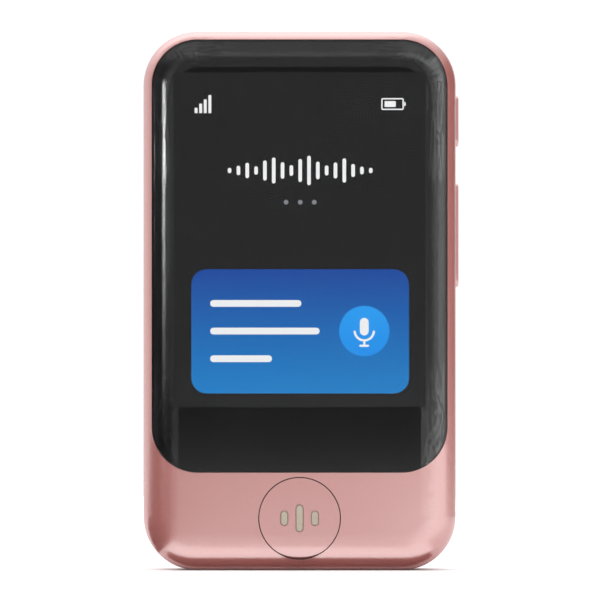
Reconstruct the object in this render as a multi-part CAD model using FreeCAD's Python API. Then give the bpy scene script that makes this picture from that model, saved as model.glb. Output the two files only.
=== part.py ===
import FreeCAD, Part
import math
import os

# Handheld voice translator: a pocket slab with a glass front, a round talk button in
# the chin, two keys on the right edge, a card tray on the left edge, and a charging
# port, a microphone hole and a strap bar in the bottom edge.
# X runs to the right as the user sees the screen, Y from the screen to the back and
# Z up. The origin is the middle of the bottom edge, halfway through the body's depth.
# All sizes are millimetres.

# Body
BODY_WIDTH = 53.2
BODY_HEIGHT = 91.6
BODY_DEPTH = 11.5
CORNER_RADIUS = 9.1
FRONT_ROUND_IN = 6.0
FRONT_ROUND_DEPTH = 3.2
BACK_ROUND_IN = 5.2
BACK_ROUND_DEPTH = 3.0
WALL = 1.2
PARTING_MARGIN = 0.5
SEAM_WIDTH = 0.12
SEAM_DEPTH = 0.25

# Clearances
PIECE_GAP = 0.05
GLASS_GAP = 0.08
KEY_GAP = 0.1
ROCKER_END_GAP = 0.16
INSIDE_GAP = 0.3
BOARD_GAP = 0.5

# Front glass and display
GLASS_THICK = 0.7
GLASS_SIDE_MARGIN = 1.53
GLASS_TOP_MARGIN = 1.4
GLASS_CORNER = 7.7
CHIN_HEIGHT = 16.7
INK_THICK = 0.05
TAPE_THICK = 0.1
TAPE_WIDTH = 1.3
VIEW_SIDE_MARGIN = 3.72
VIEW_TOP_MARGIN = 5.5
VIEW_BOTTOM_MARGIN = 11.1
VIEW_CORNER = 0.6
DISPLAY_SIDE_BORDER = 1.4
DISPLAY_TOP_BORDER = 2.0
DISPLAY_BOTTOM_BORDER = 5.0
ADHESIVE_THICK = 0.15
TOUCH_THICK = 0.3
PANEL_THICK = 0.7
BACKLIGHT_THICK = 0.8
DISPLAY_GAP = 0.05
DISPLAY_CORNER = 0.8
DISPLAY_FLEX_WIDTH = 8.0
DISPLAY_FLEX_IN = 12.1
FLEX_THICK = 0.15

# Chassis plate
CHASSIS_THICK = 0.4
CHASSIS_GAP = 0.15
CHASSIS_LOW_GAP = 0.3
RAIL_THICK = 0.4
RAIL_DEPTH = 1.6
RAIL_END_MARGIN = 4.0

# Main board
BOARD_THICK = 0.8
BOARD_STANDOFF = 1.7
MAIN_BOARD_HEIGHT = 24.1
STANDOFF_RADIUS = 1.5
CAN_HEIGHT = 1.2
CAN_SHEET = 0.15
FRONT_CAN_HEIGHT = 16.0
FRONT_CAN_UP = 11.5
REAR_CAN_HEIGHT = 9.4
REAR_CAN_UP = 7.2
CAN_CLEARANCE = 1.25
PROCESSOR_SIZE = 10.0
MEMORY_SIZE = 9.0
RADIO_SIZE = 6.0
CHIP_THICK = 0.9
CONNECTOR_HEIGHT = 0.8
CONNECTOR_DEPTH = 3.0
BOARD_SCREW_IN_LEFT = 2.9
BOARD_SCREW_IN_RIGHT = 5.0

# Bottom board
SUB_BOARD_STANDOFF = 2.15
SUB_BOARD_TOP_GAP = 0.7
SUB_SCREW_IN = 4.9
SUB_SCREW_DOWN = 1.8
BOSS_RADIUS = 1.5

# Screws
SCREW_SHANK_RADIUS = 0.6
SCREW_HEAD_RADIUS = 1.05
SCREW_HEAD_HEIGHT = 0.5
SCREW_LENGTH = 1.3
SCREW_HOLE_GAP = 0.03
DRIVE_WIDTH = 0.25
DRIVE_DEPTH = 0.22
DRIVE_SPAN = 1.2

# Talk button
BUTTON_RADIUS = 6.85
BUTTON_GAP = 0.18
BUTTON_UP = 8.9
BUTTON_FACE_THICK = 1.0
BUTTON_DEPTH = 1.85
BUTTON_RIM = 0.95
BUTTON_TRAVEL = 0.3
TAB_REACH = 1.45
TAB_HEIGHT = 6.4
TAB_THICK = 0.6
LIGHT_BAR_WIDTH = 1.25
LIGHT_BAR_PITCH = 2.6
LIGHT_BAR_TALL = 4.6
LIGHT_BAR_SHORT = 2.5
LIGHT_GUIDE_THICK = 0.75
LIGHT_WINDOW_RECESS = 0.04
NUB_RADIUS = 1.0
NUB_GAP = 0.05
DOME_HEIGHT = 0.35
DOME_RADIUS = 2.1
CUSHION_WALL = 0.75
LED_SIZE = 1.6
LED_HEIGHT = 0.6
LED_SPREAD = 3.6

# Side keys
KEY_WIDTH = 2.6
KEY_PROUD = 0.5
KEY_ROUND = 0.35
POWER_LENGTH = 8.7
POWER_DOWN = 15.15
ROCKER_LENGTH = 17.7
ROCKER_DOWN = 34.6
KEY_FLANGE_THICK = 0.6
KEY_FLANGE_EXTRA = 0.5
ROCKER_SLACK = 0.35
ROCKER_FLANGE_LENGTH = 12.6
ROCKER_NUB_SPREAD = 5.5
KEY_NUB_RADIUS = 0.6
KEY_NUB_REACH = 0.75
KEY_DOME_RADIUS = 1.1
KEY_BRACKET_THICK = 0.4
KEY_BRACKET_MARGIN = 1.7
KEY_FOOT_WIDTH = 1.0
KEY_PLUG_WIDTH = 2.4

# Card tray
TRAY_DOWN = 15.0
TRAY_DOOR_LENGTH = 14.6
TRAY_DOOR_WIDTH = 2.4
TRAY_DOOR_THICK = 0.7
TRAY_THICK = 0.8
TRAY_HEIGHT = 10.6
TRAY_LENGTH = 16.8
TRAY_LEDGE = 0.12
TRAY_LEDGE_WIDTH = 0.5
CARD_LENGTH = 12.3
CARD_HEIGHT = 8.8
CARD_THICK = 0.64
CARD_CORNER = 1.0
CARD_CUT = 1.65
CARD_END_MARGIN = 1.3
CARD_GAP = 0.08
SOCKET_BASE_THICK = 0.2
SOCKET_SHEET = 0.2
SOCKET_SIDE_GAP = 1.2
SOCKET_PLAY = 0.1
SOCKET_BEHIND = 2.3
CONTACT_WIDTH = 0.9
CONTACT_LENGTH = 2.0
CONTACT_PITCH = 2.54
CONTACT_SIDE = 2.2
PIN_HOLE_RADIUS = 0.45
ROD_RADIUS = 0.35
ROD_GAP = 0.1
ROD_OFFSET = 5.9
LEVER_ARM = 3.0
LEVER_WIDTH = 1.0
LEVER_THICK = 0.6
LEVER_PLAY = 0.55
RIVET_RADIUS = 0.35

# Camera and flash
CAMERA_IN = 12.6
CAMERA_DOWN = 10.4
CAMERA_SIZE = 8.5
CAMERA_BASE_SIZE = 9.4
CAMERA_BASE_THICK = 0.4
CAMERA_BODY_HEIGHT = 3.1
BARREL_RADIUS = 3.2
LENS_RADIUS = 1.9
LENS_RECESS = 0.5
CAMERA_WINDOW_RADIUS = 4.0
CAMERA_WINDOW_THICK = 0.7
CAMERA_WINDOW_RECESS = 0.12
CAMERA_RING_WIDTH = 0.9
CAMERA_RING_DEPTH = 1.0
CAMERA_SEAT = 0.6
FLASH_SPACING = 9.0
FLASH_RADIUS = 1.5
FLASH_FLANGE = 0.5
FLASH_FLANGE_THICK = 0.5

# Charging port
PORT_WIDTH = 8.94
PORT_HEIGHT = 3.2
PORT_LENGTH = 7.3
PORT_SHEET = 0.25
PORT_RECESS = 0.35
PORT_GAP = 0.12
TONGUE_WIDTH = 6.7
TONGUE_THICK = 0.7
TONGUE_RECESS = 0.9
PORT_BASE = 2.0
PORT_CONTACTS = 12
PORT_CONTACT_PITCH = 0.5
PORT_CONTACT_WIDTH = 0.28
PORT_CONTACT_LENGTH = 3.4
PORT_CONTACT_THICK = 0.06

# Strap bar
STRAP_IN = 9.6
STRAP_BAR_WIDTH = 1.7
STRAP_BAR_THICK = 1.4
STRAP_SLOT_WIDTH = 2.1
STRAP_SLOT_DEPTH = 2.5
STRAP_POCKET_HEIGHT = 2.4
STRAP_WALL = 0.9

# Battery
BATTERY_SIDE_ROOM = 5.4
BATTERY_TOP_ROOM = 2.3
BATTERY_THICK = 5.6
BATTERY_ROUND = 1.1
BATTERY_TAPE_THICK = 0.15
BATTERY_TAPE_WIDTH = 12.0
BATTERY_UP = 19.6
CIRCUIT_HEIGHT = 2.6
CIRCUIT_WIDTH = 26.0
CIRCUIT_DEPTH = 2.6
LEAD_WIDTH = 5.0

# Speaker
SPEAKER_IN = 11.9
SPEAKER_UP = 8.6
SPEAKER_BOX_WIDTH = 14.6
SPEAKER_BOX_HEIGHT = 10.6
SPEAKER_BOX_WALL = 0.8
SPEAKER_WIDTH = 12.4
SPEAKER_HEIGHT = 8.4
SPEAKER_THICK = 2.6
SPEAKER_CORNER = 3.0
SPEAKER_SET_BACK = 0.3
GASKET_THICK = 0.4
GASKET_WIDTH = 0.9
SOUND_HOLE_RADIUS = 0.55
SOUND_HOLE_PITCH = 1.9
SOUND_HOLE_COLUMNS = 6
SOUND_HOLE_ROWS = 2
MESH_THICK = 0.15

# Microphones
MIC_WIDTH = 3.5
MIC_HEIGHT = 2.6
MIC_THICK = 1.0
MIC_HOLE_RADIUS = 0.45
TOP_MIC_SHARE = -0.3
BOOT_WALL = 0.6

# Antenna
CARRIER_IN = 12.8
CARRIER_WIDTH = 13.4
CARRIER_TOP = 12.4
CARRIER_WALL = 0.8
ANTENNA_THICK = 0.12
ANTENNA_MARGIN = 1.2
ANTENNA_TRACK = 1.6

# Ribbon between the boards
LINK_WIDTH = 7.0
LINK_IN = 12.6
LINK_BEND = 0.7

# Snap hooks of the back cover
HOOK_WIDTH = 4.0
HOOK_THICK = 0.7
HOOK_REACH = 1.5
CATCH_DEPTH = 0.3
CATCH_LENGTH = 0.5
LEFT_HOOK_SHARES = (0.24, 0.458, 0.655)
RIGHT_HOOK_SHARES = (0.24, 0.415)
TOP_HOOK_SHARES = (-0.49, 0.11)

# Places that follow from the sizes above, from the front of the body to its back
HALF_WIDTH = BODY_WIDTH / 2
FRONT = -BODY_DEPTH / 2
BACK = BODY_DEPTH / 2
BAND_MIDDLE = (FRONT + FRONT_ROUND_DEPTH + BACK - BACK_ROUND_DEPTH) / 2
INNER_FRONT = FRONT + WALL
INNER_BACK = BACK - WALL
INNER_SIDE = HALF_WIDTH - WALL
INNER_TOP = BODY_HEIGHT - WALL
GLASS_TOP = BODY_HEIGHT - GLASS_TOP_MARGIN
GLASS_WIDTH = BODY_WIDTH - 2 * GLASS_SIDE_MARGIN
GLASS_HEIGHT = GLASS_TOP - CHIN_HEIGHT
GLASS_MIDDLE = (GLASS_TOP + CHIN_HEIGHT) / 2
INK_INSET = GLASS_THICK + INK_THICK
LEDGE_INSET = INK_INSET + TAPE_THICK
VIEW_WIDTH = GLASS_WIDTH - 2 * VIEW_SIDE_MARGIN
VIEW_HEIGHT = GLASS_HEIGHT - VIEW_TOP_MARGIN - VIEW_BOTTOM_MARGIN
VIEW_TOP = GLASS_TOP - VIEW_TOP_MARGIN
VIEW_MIDDLE = VIEW_TOP - VIEW_HEIGHT / 2
DISPLAY_WIDTH = VIEW_WIDTH + 2 * DISPLAY_SIDE_BORDER
DISPLAY_HEIGHT = VIEW_HEIGHT + DISPLAY_TOP_BORDER + DISPLAY_BOTTOM_BORDER
DISPLAY_MIDDLE = VIEW_TOP + DISPLAY_TOP_BORDER - DISPLAY_HEIGHT / 2
DISPLAY_LOW = DISPLAY_MIDDLE - DISPLAY_HEIGHT / 2
DISPLAY_FLEX_X = DISPLAY_FLEX_IN - HALF_WIDTH
ADHESIVE_FRONT = FRONT + INK_INSET
TOUCH_FRONT = ADHESIVE_FRONT + ADHESIVE_THICK
PANEL_FRONT = TOUCH_FRONT + TOUCH_THICK
BACKLIGHT_FRONT = PANEL_FRONT + PANEL_THICK
DISPLAY_BACK = BACKLIGHT_FRONT + BACKLIGHT_THICK
CHASSIS_FRONT = DISPLAY_BACK + DISPLAY_GAP
CHASSIS_BACK = CHASSIS_FRONT + CHASSIS_THICK
BOARD_FRONT = CHASSIS_BACK + BOARD_STANDOFF
BOARD_BACK = BOARD_FRONT + BOARD_THICK
BOARD_TOP = INNER_TOP - BOARD_GAP - INSIDE_GAP
BOARD_LOW = BOARD_TOP - MAIN_BOARD_HEIGHT
CHIN_POCKET_TOP = CHIN_HEIGHT - BUTTON_GAP - BOARD_GAP
SUB_BOARD_FRONT = INNER_FRONT + SUB_BOARD_STANDOFF
SUB_BOARD_BACK = SUB_BOARD_FRONT + BOARD_THICK
SUB_BOARD_TOP = CHIN_HEIGHT + SUB_BOARD_TOP_GAP
BUTTON_BACK = FRONT + BUTTON_DEPTH
PORT_MIDDLE = SUB_BOARD_BACK + PORT_HEIGHT / 2
POWER_UP = BODY_HEIGHT - POWER_DOWN
ROCKER_UP = BODY_HEIGHT - ROCKER_DOWN
TRAY_UP = BODY_HEIGHT - TRAY_DOWN
KEY_TIP = INNER_SIDE - KEY_GAP - KEY_FLANGE_THICK - KEY_NUB_REACH
DOME_FACE = KEY_TIP - NUB_GAP
KEY_FLEX_FACE = DOME_FACE - DOME_HEIGHT
KEY_BRACKET_FACE = KEY_FLEX_FACE - FLEX_THICK
KEY_BRACKET_BACK = KEY_BRACKET_FACE - KEY_BRACKET_THICK
TRAY_FRONT = BOARD_BACK + SOCKET_BASE_THICK + SOCKET_PLAY
TRAY_BACK = TRAY_FRONT + TRAY_THICK
TRAY_PLANE = (TRAY_FRONT + TRAY_BACK) / 2
PARTING = TRAY_PLANE + TRAY_DOOR_WIDTH / 2 + PARTING_MARGIN
DOOR_INNER = -HALF_WIDTH + TRAY_DOOR_THICK
TRAY_END = DOOR_INNER + TRAY_LENGTH
LEVER_X = TRAY_END + LEVER_PLAY + LEVER_WIDTH / 2
LEVER_UP = TRAY_UP + ROD_OFFSET - LEVER_ARM
SOCKET_START = -INNER_SIDE + INSIDE_GAP
SOCKET_END = TRAY_END + SOCKET_BEHIND
SOCKET_HALF_HEIGHT = TRAY_HEIGHT / 2 + SOCKET_SIDE_GAP + SOCKET_SHEET
CAMERA_X = HALF_WIDTH - CAMERA_IN
CAMERA_UP = BODY_HEIGHT - CAMERA_DOWN
FLASH_X = CAMERA_X - FLASH_SPACING
BATTERY_FRONT = CHASSIS_BACK + BATTERY_TAPE_THICK
BATTERY_BACK = BATTERY_FRONT + BATTERY_THICK
BATTERY_WIDTH = 2 * (INNER_SIDE - BATTERY_SIDE_ROOM)
BATTERY_TOP = BOARD_LOW - BATTERY_TOP_ROOM - CIRCUIT_HEIGHT
SPEAKER_X = HALF_WIDTH - SPEAKER_IN
SPEAKER_BACK = INNER_BACK - GASKET_THICK
STRAP_X = STRAP_IN - HALF_WIDTH
CARRIER_X = CARRIER_IN - HALF_WIDTH
LINK_X = LINK_IN - HALF_WIDTH
STRAP_POCKET_WIDTH = STRAP_BAR_WIDTH + 2 * STRAP_SLOT_WIDTH
BOTTOM_MIC_X = (STRAP_X + STRAP_POCKET_WIDTH / 2 + STRAP_WALL - PORT_WIDTH / 2) / 2
TOP_MIC_X = TOP_MIC_SHARE * HALF_WIDTH
STRAP_PLANE = PARTING - STRAP_SLOT_DEPTH / 2 - STRAP_WALL - PIECE_GAP
STRAP_BLOCK_HEIGHT = STRAP_BAR_THICK + STRAP_POCKET_HEIGHT + STRAP_WALL
FLEX_CONNECTOR_UP = SUB_BOARD_TOP - CONNECTOR_DEPTH - 2 * INSIDE_GAP
LINK_CONNECTOR_LOW = SUB_BOARD_TOP - CONNECTOR_DEPTH - INSIDE_GAP
LINK_CONNECTOR_HIGH = BOARD_LOW + INSIDE_GAP
PAST = 2.0

SIDE_SCREW_X = (DISPLAY_WIDTH / 2 + INSIDE_GAP + INNER_SIDE) / 2
TOP_SCREW_X = HALF_WIDTH - CORNER_RADIUS + 3.3
TOP_SCREW_UP = (DISPLAY_MIDDLE + DISPLAY_HEIGHT / 2 + INSIDE_GAP + INNER_TOP) / 2 - 0.5
LOW_SCREW_UP = DISPLAY_LOW + 4.2 * SCREW_HEAD_RADIUS
CHASSIS_SCREWS = (
    (-SIDE_SCREW_X, LOW_SCREW_UP), (-SIDE_SCREW_X, ROCKER_UP), (SIDE_SCREW_X, LOW_SCREW_UP),
    (SIDE_SCREW_X, ROCKER_UP - ROCKER_LENGTH / 2 - KEY_BRACKET_MARGIN - 3 * SCREW_HEAD_RADIUS),
    (-TOP_SCREW_X, TOP_SCREW_UP), (TOP_SCREW_X, TOP_SCREW_UP),
)
LEFT_SCREW_X = BOARD_SCREW_IN_LEFT - INNER_SIDE
RIGHT_SCREW_X = INNER_SIDE - BOARD_SCREW_IN_RIGHT
BOARD_SCREWS = (
    (LEFT_SCREW_X, BOARD_LOW + 2.0), (RIGHT_SCREW_X, BOARD_LOW + 2.3),
    (LEFT_SCREW_X, BOARD_TOP - 4.3), (RIGHT_SCREW_X, BOARD_TOP - 5.6),
)
SUB_SCREW_X = INNER_SIDE - SUB_SCREW_IN
SUB_SCREWS = (
    (-SUB_SCREW_X, SUB_BOARD_TOP - SUB_SCREW_DOWN),
    (SUB_SCREW_X, SUB_BOARD_TOP - SUB_SCREW_DOWN),
)
FRONT_CAN_LEFT = LEFT_SCREW_X + STANDOFF_RADIUS + 2 * INSIDE_GAP
FRONT_CAN_RIGHT = CAMERA_X - CAMERA_BASE_SIZE / 2 - CAN_CLEARANCE
FRONT_CAN_X = (FRONT_CAN_LEFT + FRONT_CAN_RIGHT) / 2
FRONT_CAN_WIDTH = FRONT_CAN_RIGHT - FRONT_CAN_LEFT
LEAD_X = FRONT_CAN_RIGHT - LEAD_WIDTH / 2
REAR_CAN_LEFT = SOCKET_END + 2 * CAN_CLEARANCE
REAR_CAN_RIGHT = CAMERA_X - CAMERA_BASE_SIZE / 2 - CAN_CLEARANCE
REAR_CAN_X = (REAR_CAN_LEFT + REAR_CAN_RIGHT) / 2
REAR_CAN_WIDTH = REAR_CAN_RIGHT - REAR_CAN_LEFT


def point(axis, a, b, along):
    """A point given by its place along one axis and its two coordinates across it."""
    if axis == "x":
        return FreeCAD.Vector(along, a, b)
    if axis == "y":
        return FreeCAD.Vector(a, along, b)
    return FreeCAD.Vector(a, b, along)


def box(x0, x1, y0, y1, z0, z1):
    """A block between two corners."""
    return Part.makeBox(x1 - x0, y1 - y0, z1 - z0, FreeCAD.Vector(x0, y0, z0))


def bar(axis, a, b, size_a, size_b, radius, start, end):
    """A bar along an axis with a rounded rectangular section centred on (a, b)."""
    half_a, half_b = size_a / 2, size_b / 2
    radius = min(radius, half_a, half_b)
    edges = []
    for turn in range(4):
        angle = turn * math.pi / 2
        sign_a = 1 if turn in (0, 3) else -1
        sign_b = 1 if turn in (0, 1) else -1
        centre = (a + sign_a * (half_a - radius), b + sign_b * (half_b - radius))
        arc = [
            point(axis, centre[0] + radius * math.cos(angle + step),
                  centre[1] + radius * math.sin(angle + step), start)
            for step in (0, math.pi / 4, math.pi / 2)
        ]
        if edges:
            join(edges, arc[0])
        edges.append(Part.Arc(*arc).toShape())
    join(edges, edges[0].firstVertex().Point)
    face = Part.Face(Part.Wire(Part.__sortEdges__(edges)))
    return face.extrude(point(axis, 0, 0, end - start))


def join(edges, target):
    """Adds the straight edge from the last arc's end to the target, if they are apart."""
    last = edges[-1].lastVertex().Point
    if last.distanceToPoint(target) > 1e-6:
        edges.append(Part.makeLine(last, target))


def round_bar(axis, a, b, radius, start, end):
    """A cylinder along an axis, centred on (a, b)."""
    base = point(axis, a, b, start)
    return Part.makeCylinder(radius, end - start, base, point(axis, 0, 0, 1))


def tube(axis, a, b, outer, inner, start, end):
    """A cylinder with a bore."""
    bore = round_bar(axis, a, b, inner, start - PAST, end + PAST)
    return round_bar(axis, a, b, outer, start, end).cut(bore)


def fuse(first, *others):
    """Joins solids into one and merges the faces that run on into each other."""
    return first.fuse(list(others)).removeSplitter()


def group(shapes):
    """Separate solids that share one node."""
    return Part.makeCompound([solid for shape in shapes for solid in shape.Solids])


def curve(start, end, corner, lift):
    """A curve that leaves the flat face without a break in its bend and ends square to it.

    start is on the flat face, corner is where the two directions meet and end is on the
    body's side. lift is how much of the way back to the face the last handle lies.
    """
    start, end, corner = (FreeCAD.Vector(*p) for p in (start, end, corner))
    along = corner - start
    poles = [start, start + along * 0.35, start + along * 0.7,
             corner + (end - corner) * lift, end]
    bend = Part.BezierCurve()
    bend.setPoles(poles)
    return bend.toShape()


def section(inset, middle, reach, across):
    """Half of the body's cross-section as a face, from its middle out to its side.

    middle is the place of the inner end on the across axis, and reach is how far the
    side is from there.
    """
    def at(out, y):
        if across == "x":
            return (middle + out, y, 0)
        return (0, y, middle + out)

    front, back = FRONT + inset, BACK - inset
    front_in, front_deep = FRONT_ROUND_IN - inset, FRONT_ROUND_DEPTH - inset
    back_in, back_deep = BACK_ROUND_IN - inset, BACK_ROUND_DEPTH - inset
    side = reach - inset
    handle = 0.45
    edges = [
        Part.makeLine(FreeCAD.Vector(*at(0, front)), FreeCAD.Vector(*at(side - front_in, front))),
        curve(at(side - front_in, front), at(side, front + front_deep), at(side, front), handle),
        Part.makeLine(FreeCAD.Vector(*at(side, front + front_deep)),
                      FreeCAD.Vector(*at(side, back - back_deep))),
        curve(at(side - back_in, back), at(side, back - back_deep), at(side, back), handle),
        Part.makeLine(FreeCAD.Vector(*at(side - back_in, back)), FreeCAD.Vector(*at(0, back))),
        Part.makeLine(FreeCAD.Vector(*at(0, back)), FreeCAD.Vector(*at(0, front))),
    ]
    return Part.Face(Part.Wire(Part.__sortEdges__(edges)))


FORMS = {}


def form(inset):
    """The body's outer form drawn in by the same amount all over, as one solid."""
    key = round(inset, 4)
    if key in FORMS:
        return FORMS[key]
    corner_x = HALF_WIDTH - CORNER_RADIUS
    corner_low, corner_high = CORNER_RADIUS, BODY_HEIGHT - CORNER_RADIUS
    middle_up = BODY_HEIGHT / 2
    parts = []
    right = section(inset, 0, HALF_WIDTH, "x")
    right.translate(FreeCAD.Vector(0, 0, corner_low))
    right = right.extrude(FreeCAD.Vector(0, 0, corner_high - corner_low))
    left = right.mirror(FreeCAD.Vector(0, 0, 0), FreeCAD.Vector(1, 0, 0))
    upper = section(inset, middle_up, BODY_HEIGHT - middle_up, "z")
    upper.translate(FreeCAD.Vector(-corner_x, 0, 0))
    upper = upper.extrude(FreeCAD.Vector(2 * corner_x, 0, 0))
    lower = upper.mirror(FreeCAD.Vector(0, 0, middle_up), FreeCAD.Vector(0, 0, 1))
    parts = [right, left, upper, lower]
    quarter = section(inset, corner_x, CORNER_RADIUS, "x")
    quarter.translate(FreeCAD.Vector(0, 0, corner_high))
    quarter = quarter.revolve(
        FreeCAD.Vector(corner_x, 0, corner_high), FreeCAD.Vector(0, 1, 0), -90)
    for mirror_x in (False, True):
        for mirror_z in (False, True):
            piece = quarter
            if mirror_x:
                piece = piece.mirror(FreeCAD.Vector(0, 0, 0), FreeCAD.Vector(1, 0, 0))
            if mirror_z:
                piece = piece.mirror(FreeCAD.Vector(0, 0, middle_up), FreeCAD.Vector(0, 0, 1))
            parts.append(piece)
    FORMS[key] = fuse(parts[0], *parts[1:])
    return FORMS[key]


def slab(y0, y1):
    """A block wider and taller than the body between two depths."""
    return box(-BODY_WIDTH, BODY_WIDTH, y0, y1, -BODY_HEIGHT, 2 * BODY_HEIGHT)


def above(z):
    """Everything above a height."""
    return box(-BODY_WIDTH, BODY_WIDTH, -BODY_DEPTH, BODY_DEPTH, z, 2 * BODY_HEIGHT)


def glass_outline(grow, y0, y1):
    """The outline of the cover glass, grown or drawn in, between two depths."""
    return bar("y", 0, GLASS_MIDDLE, GLASS_WIDTH + 2 * grow, GLASS_HEIGHT + 2 * grow,
               GLASS_CORNER + grow, y0, y1)


def layer(inset_front, inset_back, grow):
    """A sheet that follows the curved front, inside the grown glass outline."""
    outline = glass_outline(grow, FRONT - PAST, FRONT + FRONT_ROUND_DEPTH)
    return form(inset_front).cut(form(inset_back)).common(outline)


def display_box(y0, y1, gap=0.0):
    """The display's outline between two depths."""
    return bar("y", 0, DISPLAY_MIDDLE, DISPLAY_WIDTH + 2 * gap, DISPLAY_HEIGHT + 2 * gap,
               DISPLAY_CORNER, y0, y1)


def cover_glass():
    return layer(0, GLASS_THICK, 0)


def view_window(y0, y1):
    """The clear window of the cover glass in front of the picture."""
    return bar("y", 0, VIEW_MIDDLE, VIEW_WIDTH, VIEW_HEIGHT, VIEW_CORNER, y0, y1)


def glass_ink():
    return layer(GLASS_THICK, INK_INSET, 0).cut(view_window(FRONT, INNER_FRONT))


def glass_tape():
    inside = glass_outline(-TAPE_WIDTH, FRONT - PAST, CHASSIS_FRONT)
    return layer(INK_INSET, LEDGE_INSET, 0).cut(inside)


def optical_adhesive():
    return display_box(ADHESIVE_FRONT, TOUCH_FRONT).common(form(INK_INSET))


def touch_sensor():
    return display_box(TOUCH_FRONT, PANEL_FRONT).common(form(LEDGE_INSET))


def lcd_panel():
    return display_box(PANEL_FRONT, BACKLIGHT_FRONT)


def backlight_unit():
    return display_box(BACKLIGHT_FRONT, DISPLAY_BACK)


def ribbon(x0, x1, path, thick):
    """A flat cable of one width that follows a path of (y, z) places, at its middle."""
    points = [FreeCAD.Vector(x0, y, z) for y, z in path]
    left, right = [], []
    for index, here in enumerate(points):
        before = points[max(index - 1, 0)]
        after = points[min(index + 1, len(points) - 1)]
        run_in = (here - before).normalize() if index else (after - here).normalize()
        run_out = (after - here).normalize() if index < len(points) - 1 else run_in
        middle = (run_in + run_out).normalize()
        side = FreeCAD.Vector(0, -middle.z, middle.y)
        reach = thick / 2 / side.dot(FreeCAD.Vector(0, -run_in.z, run_in.y))
        left.append(here + side * reach)
        right.append(here - side * reach)
    wire = Part.makePolygon(left + right[::-1] + left[:1])
    return Part.Face(wire).extrude(FreeCAD.Vector(x1 - x0, 0, 0))


def display_flex():
    front_run = (PANEL_FRONT + BACKLIGHT_FRONT) / 2
    plug = SUB_BOARD_FRONT - CONNECTOR_HEIGHT - FLEX_THICK / 2
    top = FLEX_CONNECTOR_UP + CONNECTOR_DEPTH
    path = [
        (front_run, DISPLAY_LOW), (front_run, top + 2 * INSIDE_GAP + FLEX_THICK),
        (plug, top - INSIDE_GAP), (plug, FLEX_CONNECTOR_UP + INSIDE_GAP),
    ]
    half = DISPLAY_FLEX_WIDTH / 2
    return ribbon(DISPLAY_FLEX_X - half, DISPLAY_FLEX_X + half, path, FLEX_THICK)


def button_hole():
    """The round hole of the talk button through the chin."""
    return round_bar("y", 0, BUTTON_UP, BUTTON_RADIUS + BUTTON_GAP, FRONT - PAST, BUTTON_BACK + PAST)


def key_hole(up, length, end_gap):
    """The hole of a side key through the right wall."""
    return bar("x", BAND_MIDDLE, up, KEY_WIDTH + 2 * KEY_GAP, length + 2 * end_gap,
               KEY_WIDTH, INNER_SIDE - PAST, HALF_WIDTH + PAST)


def tray_holes():
    """The recess of the tray's door, the tray's slot and the eject rod's hole."""
    wide = TRAY_DOOR_WIDTH + 2 * KEY_GAP
    recess = bar("x", TRAY_PLANE, TRAY_UP, wide, TRAY_DOOR_LENGTH + 2 * KEY_GAP, wide,
                 -HALF_WIDTH - PAST, DOOR_INNER)
    slot = box(DOOR_INNER - PAST, SOCKET_START, TRAY_FRONT - SOCKET_PLAY, TRAY_BACK + SOCKET_PLAY,
               TRAY_UP - TRAY_HEIGHT / 2 - KEY_GAP, TRAY_UP + TRAY_HEIGHT / 2 + KEY_GAP)
    hole = round_bar("x", TRAY_PLANE, TRAY_UP + ROD_OFFSET, ROD_RADIUS + ROD_GAP,
                     DOOR_INNER - PAST, SOCKET_START)
    return [recess, slot, hole]


def strap_block():
    """The thick part of the bottom wall that the strap pocket is sunk in."""
    return box(STRAP_X - STRAP_POCKET_WIDTH / 2 - STRAP_WALL,
               STRAP_X + STRAP_POCKET_WIDTH / 2 + STRAP_WALL,
               STRAP_PLANE - STRAP_SLOT_DEPTH / 2 - STRAP_WALL,
               STRAP_PLANE + STRAP_SLOT_DEPTH / 2 + STRAP_WALL,
               WALL / 2, STRAP_BLOCK_HEIGHT)


def strap_pocket():
    """The pocket in the bottom edge that a strap's loop goes through, and the bar's seats."""
    pocket = bar("z", STRAP_X, STRAP_PLANE, STRAP_POCKET_WIDTH, STRAP_SLOT_DEPTH,
                 STRAP_SLOT_DEPTH / 2 - PIECE_GAP, -PAST, STRAP_BAR_THICK + STRAP_POCKET_HEIGHT)
    return [pocket, strap_bar(2 * PIECE_GAP)]


def strap_bar(gap=0.0):
    reach = STRAP_SLOT_DEPTH / 2 + STRAP_WALL / 2
    return bar("y", STRAP_X, STRAP_BAR_THICK / 2 + 2 * PIECE_GAP, STRAP_BAR_WIDTH + gap,
               STRAP_BAR_THICK + gap, STRAP_BAR_THICK / 3, STRAP_PLANE - reach - gap,
               STRAP_PLANE + reach + gap)


def hook_places():
    """Each snap hook as its side of the body and its place along that side."""
    places = [("left", share * BODY_HEIGHT) for share in LEFT_HOOK_SHARES]
    places += [("right", share * BODY_HEIGHT) for share in RIGHT_HOOK_SHARES]
    places += [("top", share * HALF_WIDTH) for share in TOP_HOOK_SHARES]
    places += [("bottom", x) for x in (BOTTOM_MIC_X, SPEAKER_X)]
    return places


def wall_block(side, place, length, out0, out1, y0, y1):
    """A block against one of the four walls.

    out0 and out1 are distances inward from the wall's inner face, and length is its
    length along the wall, centred on the place.
    """
    low, high = place - length / 2, place + length / 2
    if side == "left":
        return box(-INNER_SIDE + out0, -INNER_SIDE + out1, y0, y1, low, high)
    if side == "right":
        return box(INNER_SIDE - out1, INNER_SIDE - out0, y0, y1, low, high)
    if side == "top":
        return box(low, high, y0, y1, INNER_TOP - out1, INNER_TOP - out0)
    return box(low, high, y0, y1, WALL + out0, WALL + out1)


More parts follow.
